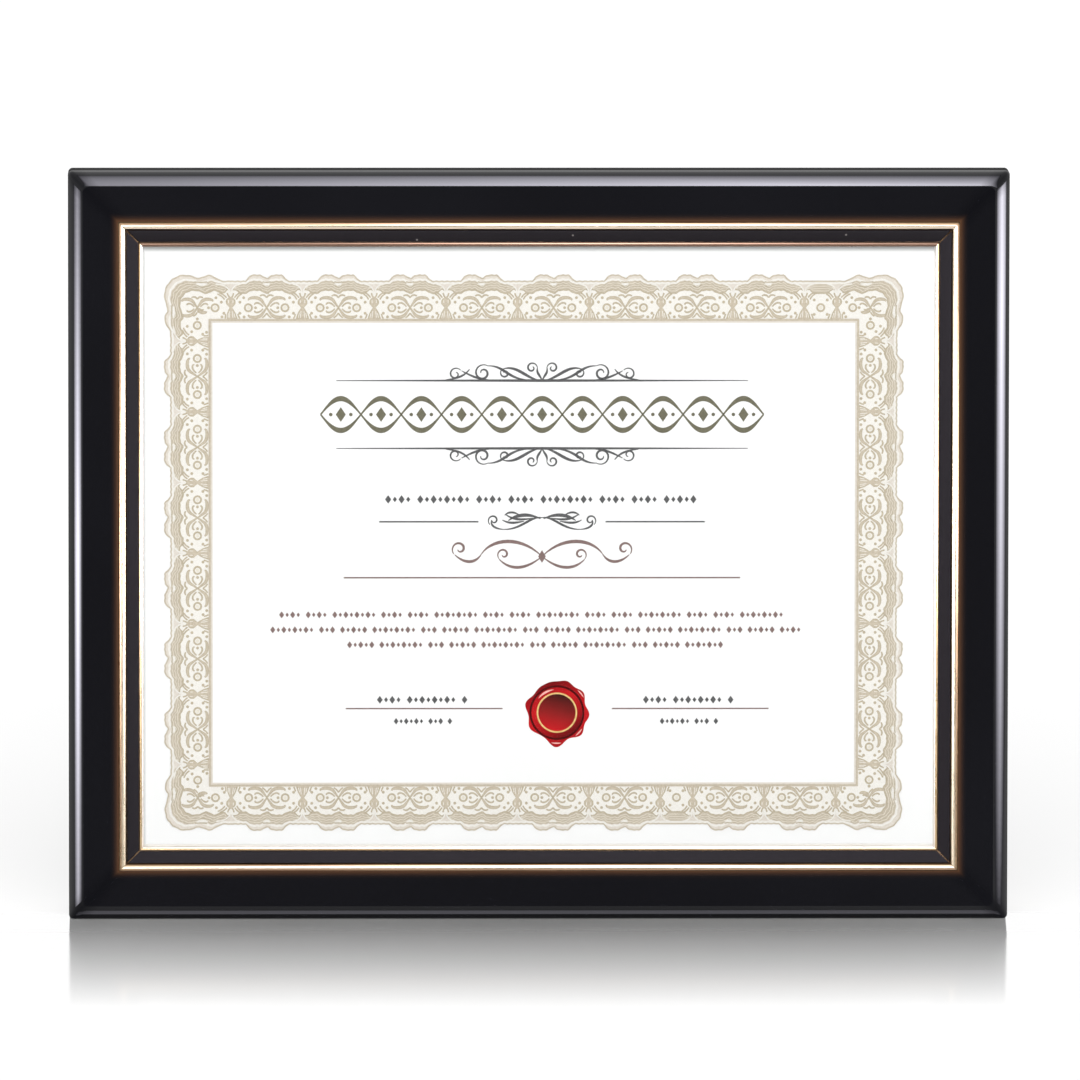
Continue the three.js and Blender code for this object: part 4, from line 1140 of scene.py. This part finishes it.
def seal():
    """A blank wax seal with a gold ring, as printed."""
    red, bright, deep = (0.39, 0.0045, 0.008), (0.57, 0.009, 0.013), (0.11, 0.001, 0.002)
    dull, dark = (0.28, 0.011, 0.011), (0.033, 0.0065, 0.0045)
    wax = slanted_ink("seal_wax_red", (-0.3, 0.95), 12.0, (0.0, red), (0.45, bright), (0.7, red), (1.0, deep))
    rim = slanted_ink("seal_rim_red", (-0.5, 0.87), 9.2, (0.0, deep), (0.35, red), (0.7, bright), (1.0, red))
    dish = slanted_ink("seal_dish_red", (0.25, 0.97), 6.2, (0.0, bright), (0.45, dull), (1.0, dark))
    band = ink("seal_ring_gold", (0.86, 0.61, 0.26), (0.72, 0.46, 0.165))
    shadow = ink("seal_shadow", (0.092, 0.001, 0.002), (0.065, 0.001, 0.001))
    seal_disc("seal_wax", wax_edge, wax, 1)
    seal_disc("seal_shadow", lambda a: WAX_REACH, shadow, 2, 8.2)
    seal_disc("seal_rim", lambda a: 8.6, rim, 3)
    seal_disc("seal_ring", lambda a: 6.85, band, 4, 6.3)
    seal_disc("seal_dish", lambda a: 6.3, dish, 4)
    shine = Ink("print_seal_shine", ink("seal_shine", (0.95, 0.54, 0.50), (0.89, 0.39, 0.36)), 5)
    for radius, start, end, width in SHINES:
        arc = []
        for step in range(13):
            angle = math.radians(start + (end - start) * step / 12)
            arc.append((SEAL_X + radius * math.cos(angle), SEAL_Y + radius * math.sin(angle)))
        shine.stroke(arc, taper(width, 0.1))
    shine.finish()


# Materials of the CAD nodes


def dress_nodes():
    across, upright = (0.02, 1.0, 1.0), (1.0, 1.0, 0.02)  # draw lines run along each side
    shaded_lip = ON_FRAME @ (Vector((0.0, 0.0, FRAME_HEIGHT - SIGHT_INSET + LIP_WIDTH)) * MM)
    gold_upright = gold("gold_trim_upright", upright, WIDE_CREST_HIGHLIGHT)
    metals = {
        "top": gold("gold_trim_top", across, WIDE_CREST_HIGHLIGHT, shaded_lip.z),
        "bottom": gold("gold_trim_bottom", across, NARROW_CREST_HIGHLIGHT),
        "left": gold_upright,
        "right": gold_upright,
    }
    strip, pile, plate, zinc = inlay(), flock(), brass(), steel()
    for side, metal in metals.items():
        dress(side + "_trim_channel", metal, 0.08, flats=False)
        dress(side + "_trim_inlay", strip, 0.08, flats=False)
        let_light_in(NODES[side + "_trim_channel"])
        let_light_in(NODES[side + "_trim_inlay"])
    dress("glass", clear_glass())
    dress("certificate_sheet", paper())
    dress("filler_board", card(), 0.1)
    dress("backing_board", pile, 0.15)
    dress("easel_leg", pile, 0.4)
    for node in NODES:
        if node.startswith(("turn_button", "hinge_bracket", "hinge_leaf")):
            dress(node, plate, 0.15)
        elif node.startswith(("bracket_rivet", "leg_rivet")):
            dress(node, plate)
        elif node.startswith(("button_screw", "corner_nail", "hinge_pin")) or "hanger_nail" in node:
            dress(node, zinc)
        elif node.endswith("_hanger"):
            dress(node, zinc, 0.12)


# Stage: floor, softboxes, world and camera


FLOOR_SIZE = 24.0
MIRROR_START = -0.034  # just in front of the frame's foot
MIRROR_END = -0.128


def floor():
    """A pale polished floor whose mirror image fades out in front of the frame."""
    n = material_nodes("polished_floor")
    away = n.position()["Y"]
    fade = n.ramp(away, MIRROR_END, MIRROR_START, 1.0, 0.53)
    shine = n.math("SUBTRACT", 1.0, n.math("POWER", fade, 2.2))
    in_front = n.math("LESS_THAN", away, -0.02)
    matt = n.add("ShaderNodeBsdfDiffuse", Color=(0.83, 0.83, 0.83, 1.0))
    mirror = n.add("ShaderNodeBsdfGlossy", Color=(1.0, 1.0, 1.0, 1.0), Roughness=0.1)
    n.mix(n.math("MULTIPLY", shine, in_front), matt, mirror)
    obj = stage_panel("floor", FLOOR_SIZE, FLOOR_SIZE, n.owner)
    obj.visible_glossy = False


def stage_panel(name, width, height, material):
    """A flat panel of the studio."""
    mesh = bpy.data.meshes.new(name)
    x, y = width / 2, height / 2
    mesh.from_pydata([(-x, -y, 0), (x, -y, 0), (x, y, 0), (-x, y, 0)], [], [(0, 1, 2, 3)])
    mesh.materials.append(material)
    obj = bpy.data.objects.new(name, mesh)
    bpy.context.scene.collection.objects.link(obj)
    return obj


def direction(azimuth, elevation):
    """From the frame towards a place round it, both in degrees. Azimuth 0 is straight in front."""
    a, e = math.radians(azimuth), math.radians(elevation)
    return Vector((math.sin(a) * math.cos(e), -math.cos(a) * math.cos(e), math.sin(e)))


def softbox(name, azimuth, elevation, distance, size, strength, fade, roll=0.0):
    """A lamp panel that only polished surfaces see at first hand.

    Strength is given at the lower and upper end. Fade is the share of the width and of the height over
    which the light goes out towards either end. Roll turns the panel about the line to the frame, in degrees.
    """
    n = material_nodes(name)
    place = n.add("ShaderNodeSeparateXYZ", Vector=n.add("ShaderNodeTexCoord").outputs["Generated"]).outputs
    level = n.ramp(place["Y"], 0.0, 1.0, *strength)
    for axis, share in zip("XY", fade):
        from_middle = n.math("ABSOLUTE", n.math("SUBTRACT", place[axis], 0.5))
        level = n.math("MULTIPLY", level, n.ramp(from_middle, 0.5 - share, 0.5, 1.0, 0.0))
    first_hand = n.math("LESS_THAN", n.add("ShaderNodeLightPath").outputs["Ray Depth"], 1.5)
    level = n.math("MULTIPLY", level, first_hand)
    glow = n.add("ShaderNodeEmission", Color=(0.97, 0.95, 1.07, 1.0), Strength=level)
    n.finish(glow.outputs["Emission"])
    obj = stage_panel(name, *size, n.owner)
    back = direction(azimuth, elevation)
    obj.location = Vector((0.0, 0.0, MIDDLE * MM)) + back * distance
    obj.rotation_mode = "QUATERNION"
    obj.rotation_quaternion = back.to_track_quat("Z", "Y") @ Quaternion((0.0, 0.0, 1.0), math.radians(roll))
    obj.visible_camera = False
    obj.visible_diffuse = False
    obj.visible_transmission = False
    obj.visible_shadow = False


def studio():
    """Lamps that draw the highlights on the four rails, and a dark flag that the flat face mirrors."""
    softbox("softbox_left", -46, 1.2, 1.6, (1.85, 0.42), (36.0, 30.0), (0.5, 0.5), 7.4)
    softbox("softbox_right", 58, 3.4, 1.6, (2.8, 0.52), (28.0, 28.0), (0.5, 0.5), -7.4)
    softbox("softbox_top", 5.5, 54, 1.3, (1.0, 2.1), (18.5, 2.0), (0.5, 0.01))
    softbox("floor_glow", 0, -55, 0.8, (1.2, 0.42), (1.6, 1.6), (0.1, 0.05))
    softbox("black_flag", 0, 2, 1.55, (0.6, 0.5), (0.1, 0.1), (0.01, 0.01))


def world():
    """Even white light and, for reflections, a room that is darker below the horizon and behind."""
    n = Nodes(bpy.data.worlds.new("studio"), "ShaderNodeOutputWorld")
    white = (1.0, 1.0, 1.0, 1.0)
    way = n.add("ShaderNodeSeparateXYZ", Vector=n.add("ShaderNodeTexCoord").outputs["Generated"]).outputs
    table = n.ramp(way["Y"], -1.0, 0.0, 0.45, 0.08)
    below = n.ramp(n.math("ABSOLUTE", way["X"]), 0.4, 1.0, table, 0.7)
    room = n.add("ShaderNodeBackground", Color=white, Strength=n.ramp(way["Z"], 0.02, 0.14, below, 1.0))
    even = n.add("ShaderNodeBackground", Color=white, Strength=1.28)
    n.mix(n.add("ShaderNodeLightPath").outputs["Is Glossy Ray"], even, room)
    bpy.context.scene.world = n.owner


def camera():
    """The photograph's view: a long lens from a little above the middle."""
    roll = math.radians(0.21)
    distance, field = 6.0, 0.3648
    back = direction(-0.86, 15.79)
    target = ON_FRAME @ (Vector((0.48, 6.0, MIDDLE + 1.69)) * MM)
    data = bpy.data.cameras.new("camera")
    data.sensor_width = 36.0
    data.lens = data.sensor_width * distance / field
    data.clip_end = 50.0
    obj = bpy.data.objects.new("camera", data)
    bpy.context.scene.collection.objects.link(obj)
    obj.location = target + back * distance
    obj.rotation_mode = "QUATERNION"
    obj.rotation_quaternion = (-back).to_track_quat("-Z", "Y") @ Quaternion((0.0, 0.0, 1.0), roll)
    bpy.context.scene.camera = obj


lacquered_frame()
dress_nodes()
lace_border()
wording()
seal()
floor()
studio()
world()
camera()
bpy.context.scene.view_settings.view_transform = "Standard"
